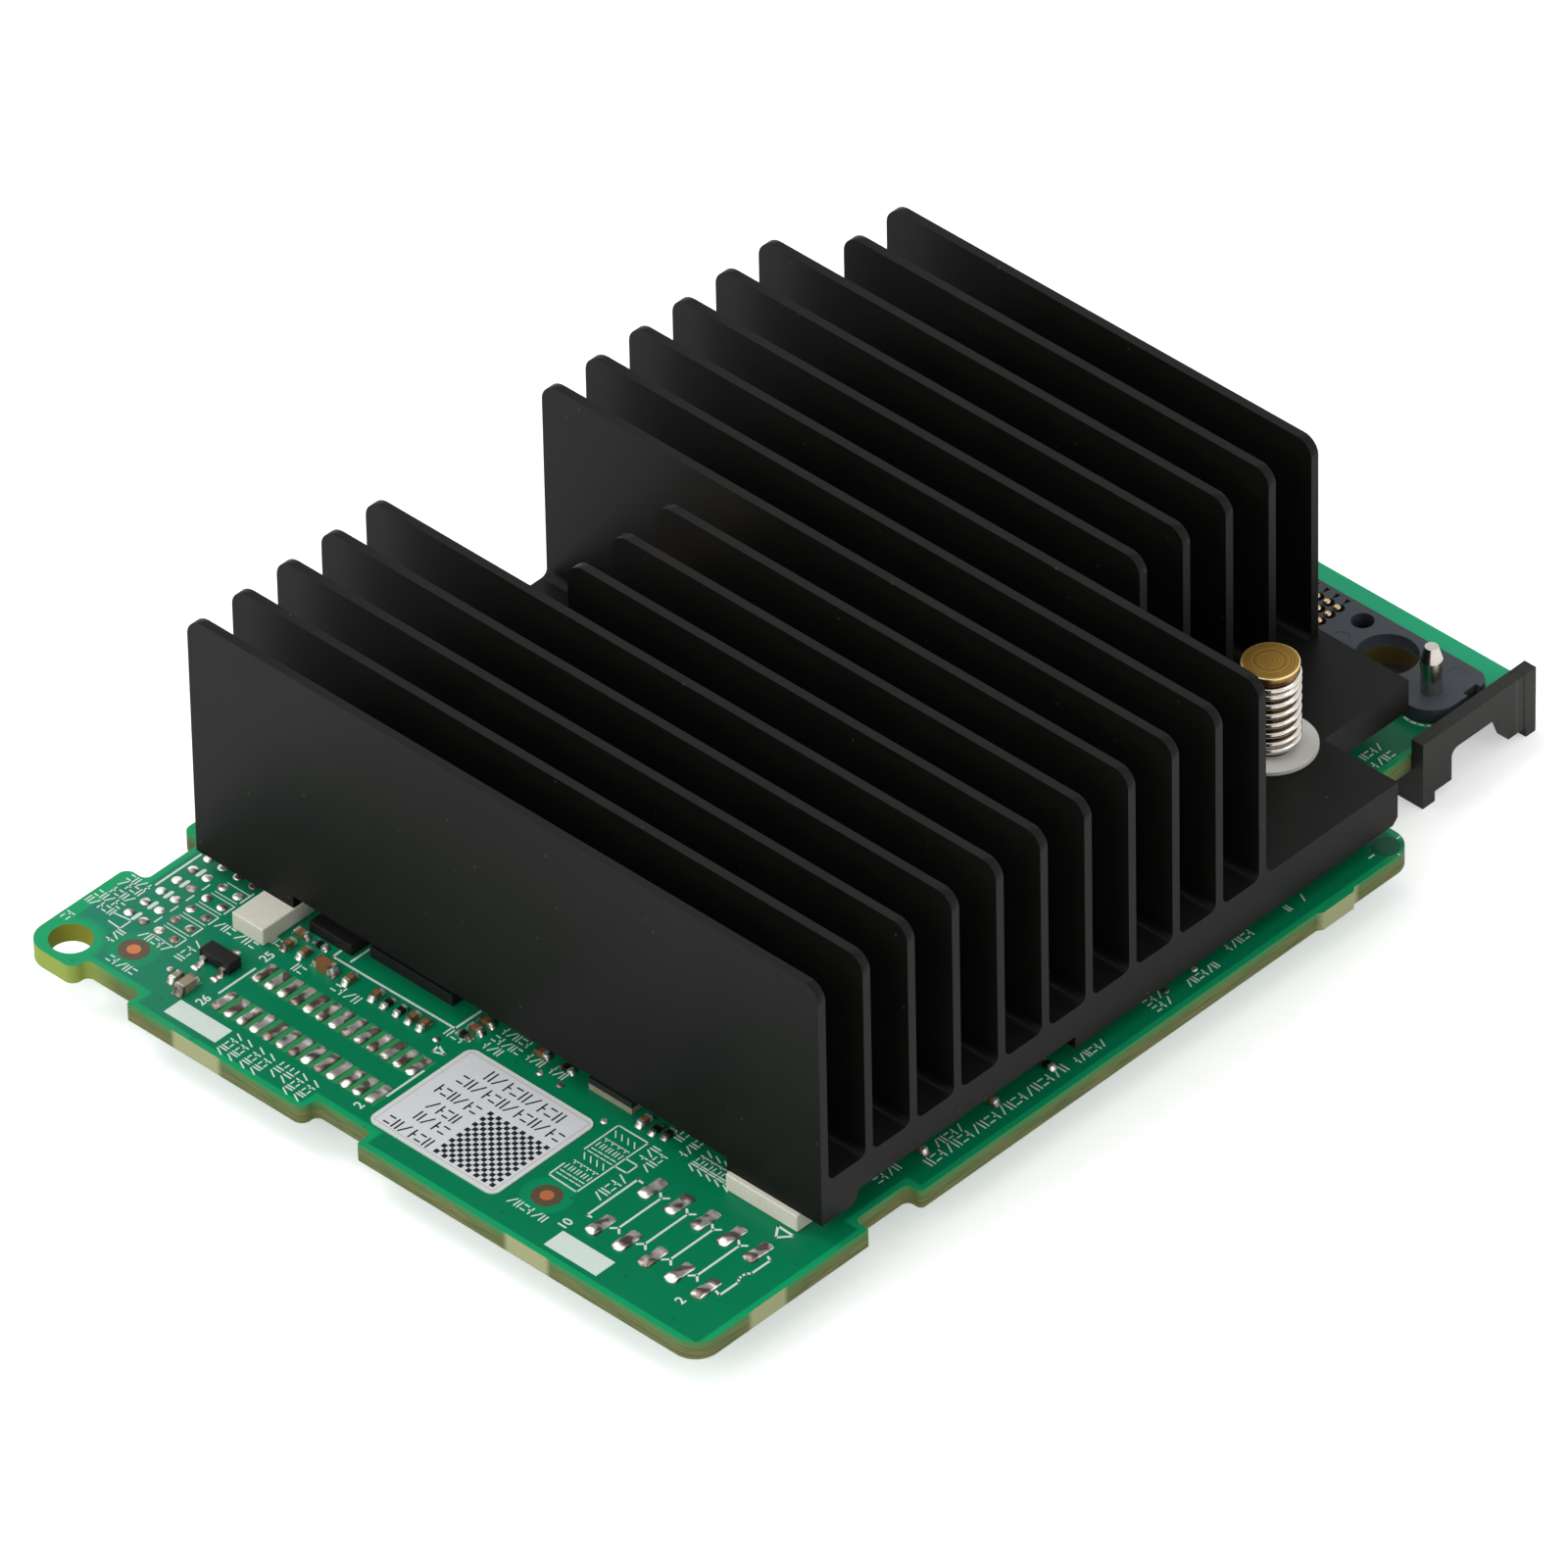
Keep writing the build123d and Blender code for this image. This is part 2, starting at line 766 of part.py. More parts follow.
def power_inductors():
    """Two square inductors of the card's own supply, in the channel under the heat sink."""
    coils = []
    for index in range(2):
        front = inductor_front_y + index * inductor_pitch
        body = moulded_chip(inductor_left_x, front, inductor_size, inductor_size, inductor_height)
        coils.append(chamfer(body.edges().filter_by(Axis.Z), inductor_corner))
    return coils


def transistor_body():
    """The moulded body of a three-legged transistor."""
    half_x = transistor_width / 2
    half_y = transistor_length / 2
    x_range = (transistor_x - half_x, transistor_x + half_x)
    y_range = (transistor_y - half_y, transistor_y + half_y)
    return block(x_range, y_range, (transistor_standoff, transistor_height))


def transistor_legs():
    """Three bent legs: two on the left side and one on the right."""
    half_x = transistor_width / 2
    half_leg = transistor_lead_width / 2
    shoulder_z = (transistor_standoff + transistor_height) / 2
    thickness = transistor_lead_thickness
    bend_x = half_x + transistor_lead_reach / 2
    shape = rounded_face([
        (half_x, shoulder_z, 0),
        (bend_x, shoulder_z, 0),
        (bend_x, thickness, 0),
        (half_x + transistor_lead_reach, thickness, 0),
        (half_x + transistor_lead_reach, 0, 0),
        (bend_x - thickness, 0, 0),
        (bend_x - thickness, shoulder_z - thickness, 0),
        (half_x, shoulder_z - thickness, 0),
    ])
    leg = along_y(shape, (-half_leg, half_leg))
    half_pitch = transistor_lead_pitch / 2
    places = ((0, 0), (half_turn, half_pitch), (half_turn, -half_pitch))
    return [Pos(transistor_x, transistor_y + y, 0) * Rot(0, 0, turn) * leg for turn, y in places]


def chip_part(place, height, scale=1.0):
    """A two-ended part's body, and the metal caps on its two ends."""
    x, y, lies_along_y = place
    half_body = chip_part_length * scale / 2 - chip_part_cap
    half_width = chip_part_width * scale / 2
    z_range = (0, height * scale)
    cap_end = half_body + chip_part_cap
    middle = block((-half_body, half_body), (-half_width, half_width), z_range)
    cap_ranges = ((-cap_end, -half_body), (half_body, cap_end))
    caps = [block(limits, (-half_width, half_width), z_range) for limits in cap_ranges]
    spot = Pos(x, y, 0) * Rot(0, 0, quarter_turn if lies_along_y else 0)
    return spot * middle, [spot * cap for cap in caps]


def chip_parts():
    """Every two-ended part, sorted into capacitor bodies, resistor bodies and end caps."""
    capacitors = [chip_part(place, capacitor_height) for place in capacitor_places]
    capacitors += [chip_part(place, capacitor_height, large_part_scale) for place in large_capacitor_places]
    resistors = [chip_part(place, resistor_height) for place in resistor_places]
    caps = [cap for _, ends in capacitors + resistors for cap in ends]
    return [body for body, _ in capacitors], [body for body, _ in resistors], caps


def spacers():
    """The soft white spacers that the heat sink's two left feet stand on."""
    height = (0, sink_foot_height)
    rear = block(
        (rear_spacer_left_x, rear_spacer_left_x + rear_spacer_length),
        (rear_spacer_front_y, rear_spacer_front_y + rear_spacer_width),
        height,
    )
    front_left_x = sink_left_x - front_spacer_proud
    front = block(
        (front_left_x, front_left_x + front_spacer_length),
        (front_spacer_front_y, front_spacer_front_y + front_spacer_width),
        height,
    )
    return {"rear": rear, "front": front}


def pad_field(left_x, column_gap, length, first_y, pitch, rows, width):
    """Two columns of flat solder pads, each pad lying along X."""
    pads = []
    for start_x in (left_x, left_x + column_gap):
        for row in range(rows):
            middle_y = first_y + row * pitch
            y_range = (middle_y - width / 2, middle_y + width / 2)
            pads.append(block((start_x, start_x + length), y_range, (0, pad_height)))
    return pads


def fine_header_pads():
    """The pads of the fine two-row header."""
    return pad_field(
        fine_pad_left_x,
        fine_pad_column_gap,
        fine_pad_length,
        fine_pad_first_y,
        fine_pad_pitch,
        fine_pad_rows,
        fine_pad_width,
    )


def coarse_header_pads():
    """The pads of the coarse two-row header."""
    return pad_field(
        coarse_pad_left_x,
        coarse_pad_column_gap,
        coarse_pad_length,
        coarse_pad_first_y,
        coarse_pad_pitch,
        coarse_pad_rows,
        coarse_pad_width,
    )


def lamp_pads():
    """The round solder spots for the signal lamps, left without lamps."""
    spot = extrude(RegularPolygon(lamp_pad_radius, lamp_pad_sides), amount=pad_height)
    return [
        Pos(lamp_pad_first_x + column * lamp_pad_pitch, y, 0) * spot
        for column in range(lamp_pad_columns)
        for y in lamp_pad_rows_y
    ]


def label():
    """The paper label, stuck flat on the board."""
    right_x = label_left_x + label_length
    rear_y = label_front_y + label_width
    outline = rounded_face([
        (label_left_x, label_front_y, label_corner_radius),
        (right_x, label_front_y, label_corner_radius),
        (right_x, rear_y, label_corner_radius),
        (label_left_x, rear_y, label_corner_radius),
    ])
    return upright(outline, (0, label_thickness))


def all_pieces():
    """Every node of the card, as a list of separate solids under the node's name."""
    capacitors, resistors, caps = chip_parts()
    pieces = {
        "circuit_board": [circuit_board()],
        "heat_sink": [heat_sink()],
        "connector_frame": [connector_frame()],
        "connector_contacts": connector_contacts(),
        "connector_bracket": [connector_bracket()],
        "controller_chip": [controller_chip()],
        "thermal_pad": [thermal_pad()],
        "memory_chip": [memory_chip()],
        "flash_chip": [flash_chip()],
        "oscillator": [oscillator()],
        "power_inductors": power_inductors(),
        "transistor_body": [transistor_body()],
        "transistor_legs": transistor_legs(),
        "capacitor_bodies": capacitors,
        "resistor_bodies": resistors,
        "chip_part_caps": caps,
        "fine_header_pads": fine_header_pads(),
        "coarse_header_pads": coarse_header_pads(),
        "lamp_pads": lamp_pads(),
        "label": [label()],
    }
    for name, (x, y) in pin_places.items():
        pieces[f"push_pin_{name}"] = [push_pin(x, y)]
        pieces[f"spring_{name}"] = [spring(x, y)]
        pieces[f"washer_{name}"] = [washer(x, y)]
    for name, spacer in spacers().items():
        pieces[f"spacer_{name}"] = [spacer]
    for name, pin in zip(("front", "rear"), alignment_pins()):
        pieces[f"alignment_pin_{name}"] = [pin]
    return pieces


def write_pieces():
    """Writes one file per node, with the origin at the middle of the card's box, at its lowest point."""
    pieces = all_pieces()
    solids = [solid for shapes in pieces.values() for shape in shapes for solid in shape.solids()]
    box = Compound(children=solids).bounding_box()
    to_origin = Pos(-box.center().X, -box.center().Y, -box.min.Z)
    os.makedirs("parts", exist_ok=True)
    for name, shapes in pieces.items():
        placed = [to_origin * solid for shape in shapes for solid in shape.solids()]
        node = placed[0] if len(placed) == 1 else Compound(children=placed)
        export_step(node, f"parts/{name}.step")


write_pieces()
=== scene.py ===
"""Looks of a host bus adapter: a small mezzanine card with a black finned heat sink.

Lengths are in millimetres, and board places are measured from the board's left front corner on its
top face, until place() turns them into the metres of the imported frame. The camera, the lamps and the
floor are in metres throughout.
"""

import math

import bpy
import numpy as np
from mathutils import Matrix, Vector


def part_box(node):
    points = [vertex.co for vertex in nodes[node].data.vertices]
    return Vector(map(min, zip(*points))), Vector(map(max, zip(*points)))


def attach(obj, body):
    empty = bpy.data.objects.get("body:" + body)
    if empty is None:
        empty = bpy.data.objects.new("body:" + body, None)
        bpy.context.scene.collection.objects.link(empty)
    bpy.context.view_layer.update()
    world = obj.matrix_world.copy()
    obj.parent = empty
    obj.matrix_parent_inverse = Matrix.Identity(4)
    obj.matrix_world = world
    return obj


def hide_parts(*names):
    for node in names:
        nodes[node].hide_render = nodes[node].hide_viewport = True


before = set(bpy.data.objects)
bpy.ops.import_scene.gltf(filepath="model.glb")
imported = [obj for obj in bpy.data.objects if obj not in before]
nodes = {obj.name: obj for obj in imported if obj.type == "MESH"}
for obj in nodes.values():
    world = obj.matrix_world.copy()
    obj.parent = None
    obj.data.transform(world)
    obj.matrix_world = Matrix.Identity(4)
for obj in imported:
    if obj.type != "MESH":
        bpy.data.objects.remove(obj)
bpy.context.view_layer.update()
bpy.context.scene.view_settings.view_transform = "Standard"

# Board places to the frame's metres. The board's box starts at a tab stub, proud of its front edge.
mm = 0.001
tab_stub_proud = 0.3
board_low, board_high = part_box("circuit_board")
board_origin = np.array((board_low.x, board_low.y + tab_stub_proud * mm, board_high.z))

# Camera at the photograph's viewing angle: its place and reach in metres, its lens and sensor in millimetres
camera_place = (-0.817195, -0.789106, 0.941241)
camera_heading = math.radians(44.1086)
camera_tilt = math.radians(39.3836)
camera_roll = math.radians(-1.1656)
camera_lens = 472.5
sensor_width = 36.0
camera_reach = 20

# Light and floor: sizes and places in metres, power in watts
floor_size = 4.0
floor_lift = 0.45
sky_level = 0.55
lamps = {
    "key_lamp": {"place": (-0.2, 0.5, 0.95), "size": 0.7, "power": 4.2},
    "left_lamp": {"place": (-0.9, 0.0, 0.6), "size": 0.6, "power": 3.6},
    "front_lamp": {"place": (0.3, -0.9, 0.55), "size": 0.6, "power": 1.6},
}

# Solids in each node whose solids are read one by one
solids_in = {
    "fine_header_pads": 26, "coarse_header_pads": 10, "lamp_pads": 24, "chip_part_caps": 48,
    "capacitor_bodies": 16, "resistor_bodies": 8, "connector_contacts": 100, "transistor_legs": 3,
}

# Board outline, for what shows through the solder mask
main_part = ((0, 0), (74.6, 66.3))
tongue = ((70.0, 7.1), (93.7, 59.2))
copper_margin = 0.5
rear_copper_margin = 1.1
tongue_copper_margin = 2.8
notches = (
    ((-1, 55.7), (1.5, 61.2)), ((-1, 32.9), (1.5, 38.4)),
    ((17.4, -1), (22.8, 1.35)), ((10.6, 64.35), (16.2, 68)),
)
tab_stubs = (
    ((-1, 46.6), (1, 51.2)), ((-1, 14.4), (1, 18.5)),
    ((5.4, -1), (9.0, 1)), ((64.2, -1), (68.3, 1)),
)
corner_hole = (2.34, 63.66)
corner_hole_clearing = 2.4
corner_hole_wall_radius = 1.9

# Where the greener lip of the routed edge starts and is full, up from the board's top
edge_lip = (-0.75, -0.15)

# Wide soft discs about the board's free corner: a bluer mask over copper, which is a painted sheen, and a
# brighter routed edge
mask_painted_sheen = {"centre": (2, 66), "radius": 11, "soft": 18}
bright_edge = {"centre": (1, 65), "radius": 5, "soft": 4}

# Headers: the pads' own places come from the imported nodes. The webs between the fine pads start and are
# full at distances from a pad's middle line.
fine_pitch = 1.27
fine_first_y = 35.5
fine_columns = (((3.6, 34.9), (5.95, 51.3)), ((7.7, 34.9), (10.05, 51.3)))
fine_web_from_pad = (0.4, 0.44)
coarse_row_gaps = (12.98, 10.43, 7.98, 5.43)

# Fiducial marks: copper dots in round openings of the mask
fiducials = ((4.5, 59.5), (4.88, 19.12))
fiducial_dot_radius = 0.53
fiducial_dot_height = 0.03
fiducial_opening_radius = 1.17
fiducial_opening_height = 0.008
fiducial_clearing_radius = 1.95
fiducial_clearing_share = 0.4

# A dark round mark by the front edge, the connector's screw holes and key holes, and the tongue's bare end
dark_mark = (72.84, 1.38)
dark_mark_radius = 1.1
screw_holes = ((88.0, 14.9), (88.0, 51.4))
screw_hole_wall_radius = 2.575
key_holes = ((89.69, 18.82), (89.69, 47.48))
key_hole_wall_radius = 0.98
tongue_strip = ((91.0, 6), (95, 60))

# Vias under the mask, drawn a little larger than they are. They fade out at the blur's share of the radius.
via_spacing = 2.3
via_radius = 0.17
via_scatter = 0.8
via_blur = 1.6
via_darkness = 0.3

# White legend: outlines are runs of corners; words are placed as (x, y, heading, length, height)
legend_thickness = 0.018
outline_width = 0.19
fine_outline_width = 0.13
hairline_width = 0.075
word_stroke = 0.125
table_stroke = 0.1
outlines = (
    ((5.29, 15.21), (5.24, 15.58), (10.39, 15.58), (10.36, 15.1)),
    (
        (5.41, 3.28), (5.27, 2.82), (7.14, 2.8), (7.45, 3.02), (7.79, 3.09),
        (8.15, 3.02), (8.46, 2.76), (10.33, 2.74), (10.51, 3.14),
    ),
    ((13.38, 4.88), (12.38, 4.15), (13.34, 3.32), (13.38, 4.88)),
    ((5.14, 51.62), (8.78, 51.62)),
    ((5.07, 34.92), (8.76, 34.92)),
    ((14.35, 48.48), (13.45, 48.46), (13.6, 36.52), (16.17, 36.48)),
    ((17.6, 47.1), (13.9, 47.1)),
    ((11.44, 36.06), (10.73, 35.93), (11.05, 35.07), (11.44, 36.06)),
    ((10.68, 63.4), (15.24, 63.4)),
    ((84.6, 10.15), (84.52, 9.6), (84.64, 8.95), (84.9, 8.4), (85.12, 8.15)),
    ((91.21, 8.48), (90.79, 8.0)),
)
fine_outlines = (
    ((10.29, 20.65), (13.74, 20.65), (13.75, 17.76), (6.54, 17.84), (6.63, 20.62), (8.22, 20.64)),
    ((10.35, 17.78), (10.38, 16.62), (11.48, 16.62), (11.46, 17.78)),
    ((5.55, 63.08), (5.48, 61.87), (6.65, 61.88), (6.42, 63.44)),
    ((6.6, 59.62), (6.6, 58.56)),
)
dark_mark_ticks = (
    ((72.84, 2.62), (72.84, 3.1)), ((71.6, 1.38), (71.1, 1.38)),
    ((74.08, 1.38), (74.4, 1.38)), ((72.84, 0.16), (72.84, 0.05)),
)
white_patches = (((1.05, 48.0), (2.8, 53.1)), ((0.95, 10.6), (2.9, 15.65)))
white_triangle = ((14.75, 48.4), (14.38, 47.57), (15.1, 47.65))

# Forked lines between the coarse header's rows: where a line ends, and where its forks' tips stand
fork_line = (5.75, 10.03)
fork_tips = (5.33, 10.4)
fork_rise = 0.42

# Legend about the lamps' pads
lamp_underlines = ((6.65, 7.77), (8.3, 9.44), (10.02, 11.04), (11.63, 12.69), (13.25, 14.61))
lamp_underline_y = 57.5
lamp_first_x = 7.2
lamp_pitch = 1.6125
lamp_boxes = 5
lamp_box_reach = 0.64
lamp_box_front = 57.6
lamp_box_rear = 59.8
lamp_dash = ((7.66, 60.55), (8.4, 60.55))
lamp_bars = ((6.89, 7.63), (8.52, 9.27), (10.14, 10.84), (11.77, 12.47), (13.43, 14.15))
lamp_bar_y = 61.95
lamp_bar_width = 0.34

# Words, which are rows of plain ticks, and the table of such rows
words = (
    (3.5, 65.35, 0, 1.2, 0.68), (3.9, 61.2, 0, 1.6, 0.7), (2.35, 60.35, -90, 2.8, 0.7),
    (5.8, 60.45, -90, 2.85, 0.7), (6.75, 63.35, 90, 2.75, 0.7), (7.65, 63.35, 90, 2.7, 0.7),
    (8.6, 63.35, 90, 2.2, 0.7), (9.6, 63.35, 90, 2.2, 0.7), (10.4, 63.35, 90, 2.2, 0.7),
    (5.75, 56.1, 0, 2.5, 0.75), (10.2, 57.15, -90, 1.7, 0.72), (10.2, 55.2, -90, 2.0, 0.72),
    (10.75, 46.25, -90, 2.7, 0.8), (10.45, 49.84, -90, 1.1, 0.8), (11.6, 53.0, -90, 1.0, 0.7),
    (0.35, 46.8, 0, 2.55, 0.68), (0.35, 45.75, 0, 2.55, 0.68), (0.35, 44.55, 0, 2.55, 0.68),
    (0.35, 43.5, 0, 2.55, 0.68), (1.1, 42.3, 0, 1.8, 0.68), (1.1, 41.3, 0, 1.8, 0.68),
    (0.35, 40.3, 0, 2.55, 0.68), (0.35, 39.2, 0, 2.55, 0.68), (12.65, 36.9, -90, 2.0, 0.75),
    (13.4, 33.85, -90, 1.75, 0.72), (14.4, 33.9, -90, 2.75, 0.7), (15.45, 33.9, -90, 2.8, 0.7),
    (14.55, 30.7, -90, 1.65, 0.7), (14.6, 28.45, -90, 1.5, 0.7), (2.55, 20.87, -90, 3.6, 0.7),
    (6.95, 16.0, 0, 3.1, 0.85), (12.1, 16.55, 0, 1.8, 0.72), (11.35, 15.65, 0, 2.4, 0.72),
    (64.4, 1.6, 0, 0.5, 0.65), (62.8, 1.6, 0, 0.5, 0.65), (56.71, 1.75, 0, 2.87, 0.68),
    (51.95, 1.15, 0, 3.24, 0.68), (48.32, 1.9, 0, 1.87, 0.68), (48.32, 0.95, 0, 1.87, 0.68),
    (40.42, 1.25, 0, 3.1, 0.7), (25.2, 1.35, 0, 14.5, 0.85), (21.4, 2.75, 0, 2.5, 0.7),
    (27.1, 2.4, 0, 2.9, 0.7), (15.3, 16.15, 0, 1.7, 0.7), (14.3, 14.8, 0, 2.2, 0.7),
    (13.6, 13.4, 0, 2.4, 0.66), (13.6, 12.57, 0, 2.4, 0.66), (13.6, 11.74, 0, 2.4, 0.66),
    (13.6, 10.91, 0, 2.4, 0.66), (13.6, 10.08, 0, 2.4, 0.66), (78.29, 7.75, 0, 2.85, 0.68),
    (78.99, 8.95, 0, 2.16, 0.68),
)
printed_table = {
    "left": 6.95, "right": 13.3, "front": 17.98, "rear": 20.42,
    "rows": 4, "columns": 8, "mark_gap": 0.15, "mark_height": 0.46,
}

# Plain ticks that stand where characters would: strokes in a square from (0, 0) to (1, 1)
placeholder_marks = (
    (((0, 0.12), (1, 0.12)), ((0, 0.88), (1, 0.88))),
    (((0.12, 0), (0.12, 1)), ((0.88, 0), (0.88, 1))),
    (((0, 0), (1, 1)),),
    (((0.5, 0), (0.5, 1)), ((0, 0.5), (0.5, 0.5))),
)

# A mark's pitch in shares of its height, the share of it left free at each side, and the step to the next
mark_pitch = 0.8
mark_inset = 0.18
mark_step = 3

# Numbers of the headers' corner pins, with their places
pin_numbers = (
    ("10", 3.19, 15.68), ("2", 2.75, 4.05), ("26", 3.3, 51.5), ("25", 9.75, 51.5), ("2", 2.75, 35.3),
)
pin_number_height = 0.82
pin_number_boldness = 0.018
pin_number_depth = 0.01

# Label: its clear rim, and its print of plain marks and a square of chequers, which spell and encode nothing
label_rim = 0.35
label_line = 0.09
label_rows = (
    (3.75, 28.8, 4.5, 0.95), (5.45, 28.9, 3.1, 0.95), (6.9, 29.2, 2.9, 0.95), (8.55, 28.8, 4.3, 0.95),
    (10.35, 22.4, 10.1, 1.0), (11.95, 23.8, 7.5, 1.05),
)
label_mark_stroke = 0.14
label_mark_height = 0.012
label_ink_depth = 0.01
code_corner = (2.85, 22.45)
code_cell = 0.39
code_cells = 15
code_height = 0.01

# Solder: the height of the beads on the headers' pads, the domes on the lamps' pads and the test points,
# and the beads at the toes of the transistor's legs
solder_mounds = {"fine_header": 0.2, "coarse_header": 0.26}
solder_seeds = {"fine_header": 3, "coarse_header": 8, "transistor": 4}
lamp_dome = {"radius": 0.44, "height": 0.17}
test_point_dome = {"radius": 0.31, "height": 0.13}
test_points = (
    (14.12, 28.7), (14.1, 26.7), (13.37, 21.68), (11.85, 36.66), (4.66, 56.01),
    (53.55, 2.31), (50.44, 2.16), (44.77, 3.86), (15.1, 55.6),
)
leg_toe_offset = 0.42
leg_solder_reach = (0.48, 0.33)
leg_solder_mound = 0.15

# A bead's shape in shares of its pad's half length, its pad's half width and the mound's height. What a
# swell's place and size may change by from pad to pad is given beside them.
left_swell = {"place": -0.55, "place_change": -0.12, "spread": 0.42, "size": 0.75, "size_change": 0.2}
right_swell = {"place": 0.66, "place_change": 0.0, "spread": 0.26, "size": 0.16, "size_change": 0.16}
waist_swell = {"place": 0.25, "place_change": 0.0, "spread": 0.4, "size": 0.06, "size_change": 0.06}
bead_floor = 0.5
bead_floor_change = 0.08
bead_reach = 0.999
bead_wetting = 1.06
bead_end_power = 22
bead_crown_power = 0.5
bead_lean = 0.12
bead_lean_turn = 2.2

# Fillets of solder at the chip parts' ends. The reach is for a part of the reach height, and the other
# sizes are shares of the part's height and width.
fillet_reach = 0.3
fillet_reach_height = 0.5
fillet_height = 0.9
fillet_toe = 0.06
fillet_half_width = 0.53
fillet_steps = 7

# Connector contacts, each on a near-black disc of painted shade for its round pocket, drawn a little towards
# the contact's shaded side as painted shadow
contact_dome_radius = 0.33
contact_pocket_radius = 0.46
contact_shadow_offset = (0.09, -0.09)
contact_pocket_depth = 0.02
contact_pocket_proud = 0.012

# Springs
spring_turns = 8
spring_closed_turns = 1.5
spring_closed_pitch = 1.05
spring_wire = 0.56
spring_steps_per_turn = 40
spring_sides = 14

# Round ejector marks of the mouldings, as (x, y, radius), and where the beige capacitors stand
frame_marks = ((87.2, 18.7, 0.65), (89.8, 9.75, 0.65), (87.2, 47.6, 0.65), (89.8, 56.55, 0.65))
bracket_marks = ((92.4, 6.28, 0.52), (92.4, 60.02, 0.52))
beige_capacitors = (4.0, 54.2)
beige_capacitors_radius = 2.0

# Sizes of the patterns in the finishes. Plies, lines, fibres and grains are drawn coarser than they are,
# so that they show.
pattern_size = {
    "mask_drift": 9, "mask_ripple": 0.9, "laminate_ply": 0.16, "extrusion_line": 0.22, "anodising_cloud": 6,
    "dust_spacing": 2.6, "lathe_line": 0.13, "tarnish_cloud": 1.3, "moulding_fleck": 0.3, "paper_fibre": 0.35,
    "solder_patch": 0.95, "package_grain": 0.25, "capacitor_grain": 0.3, "floor_speckle": 25,
}

# What a plain finish's roughness varies by, and its grain's depth as a share of the grain's size
roughness_spread = 0.08
grain_depth = 0.25

# Where a finish changes on a part: a push pin's painted highlight, a bright rim inwards from its head's edge,
# and its brighter top, down from its height, below which the brass is painted darker as shade, each from
# where it starts to where it is full; the oscillator's blurred seam
pin_painted_highlight = (0.12, 0.05)
pin_painted_shade_below_top = (0.13, 0.09)
seam_blur = 0.06

# Edges that are rounded: the nodes, the radius and the segments across it
edge_radii = (
    (("heat_sink",), 0.09, 2),
    (("connector_bracket",), 0.4, 4),
    (("push_pin_front", "push_pin_rear", "connector_frame"), 0.07, 2),
    (("spacer_front", "spacer_rear"), 0.12, 3),
    (("transistor_body", "memory_chip", "flash_chip", "power_inductors"), 0.06, 2),
)
weld_distance = 0.0005
flat_angle = math.radians(0.5)
sharp_angle = math.radians(40)


def place(points):
    """Board places in millimetres as points of the frame in metres."""
    return np.asarray(points, float) * mm + board_origin


def linear(code):
    """An sRGB hex colour as linear red, green and blue with full cover."""
    parts = [int(code[i : i + 2], 16) / 255 for i in (1, 3, 5)]
    return tuple(p / 12.92 if p <= 0.04045 else ((p + 0.055) / 1.055) ** 2.4 for p in parts) + (1.0,)


def add_node(tree, kind, inputs=None, gives=0, **settings):
    """Adds one shader node and returns one of its outputs, by name or number.

    Each input, also by name or number, gets a value, a hex colour or another node's output. A Mix of colours
    has its share at input 0, the colours at inputs 6 and 7, and the result at output 2.
    """
    made = tree.nodes.new(kind)
    for name, value in settings.items():
        setattr(made, name, value)
    for socket, value in (inputs or {}).items():
        if isinstance(value, bpy.types.NodeSocket):
            tree.links.new(value, made.inputs[socket])
        else:
            made.inputs[socket].default_value = linear(value) if isinstance(value, str) else value
    return made.outputs[gives]


def start_material(name, **sockets):
    """A new material with its shader's constants set: the material, its tree, shader and coordinates."""
    material = bpy.data.materials.new(name)
    material.use_nodes = True
    tree = material.node_tree
    shader = tree.nodes["Principled BSDF"]
    for socket, value in sockets.items():
        shader.inputs[socket.replace("_", " ")].default_value = value
    return material, tree, shader, tree.nodes.new("ShaderNodeTexCoord").outputs["Object"]


def lead_to(tree, shader, **sockets):
    """Links each given output to the shader's input of that name."""
    for socket, output in sockets.items():
        tree.links.new(output, shader.inputs[socket.replace("_", " ")])


def dressed(name, material):
    """Gives the named CAD node this material."""
    nodes[name].data.materials.clear()
    nodes[name].data.materials.append(material)


def softened(names, radius, segments):
    """Rounds the sharp edges of the named nodes.

    Their loose triangles are joined and flat ones merged, so that the radius is the same all along an edge.
    """
    for name in names:
        weld = nodes[name].modifiers.new("joined", "WELD")
        weld.merge_threshold = weld_distance * mm
        merge = nodes[name].modifiers.new("flat_faces_merged", "DECIMATE")
        merge.decimate_type = "DISSOLVE"
        merge.angle_limit = flat_angle
        bevel = nodes[name].modifiers.new("edge_radius", "BEVEL")
        bevel.width = radius * mm
        bevel.segments = segments
        bevel.limit_method = "ANGLE"
        bevel.angle_limit = sharp_angle
        bevel.harden_normals = True


def add_piece(name, points, faces, material, smooth=True, replaces=None):
    """A new piece from board places and faces, which rides on the card and may stand for a CAD node."""
    mesh = bpy.data.meshes.new(name)
    mesh.from_pydata(place(points), [], faces)
    mesh.update()
    mesh.materials.append(material)
    mesh.polygons.foreach_set("use_smooth", np.full(len(mesh.polygons), smooth))
    piece = bpy.data.objects.new(name, mesh)
    bpy.context.scene.collection.objects.link(piece)
    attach(piece, "root")
    if replaces:
        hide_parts(replaces)
    return piece


def solid_boxes(name):
    """The lowest and highest board place of each solid in a node whose solids all have as many triangles.

    The node's triangles come solid by solid, so its corner points are cut into that many equal runs.
    """
    mesh = nodes[name].data
    points = np.empty(len(mesh.vertices) * 3)
    mesh.vertices.foreach_get("co", points)
    corners = np.empty(len(mesh.loops), int)
    mesh.loops.foreach_get("vertex_index", corners)
    runs = ((points.reshape(-1, 3)[corners] - board_origin) / mm).reshape(solids_in[name], -1, 3)
    return runs.min(axis=1), runs.max(axis=1)


# Shapes

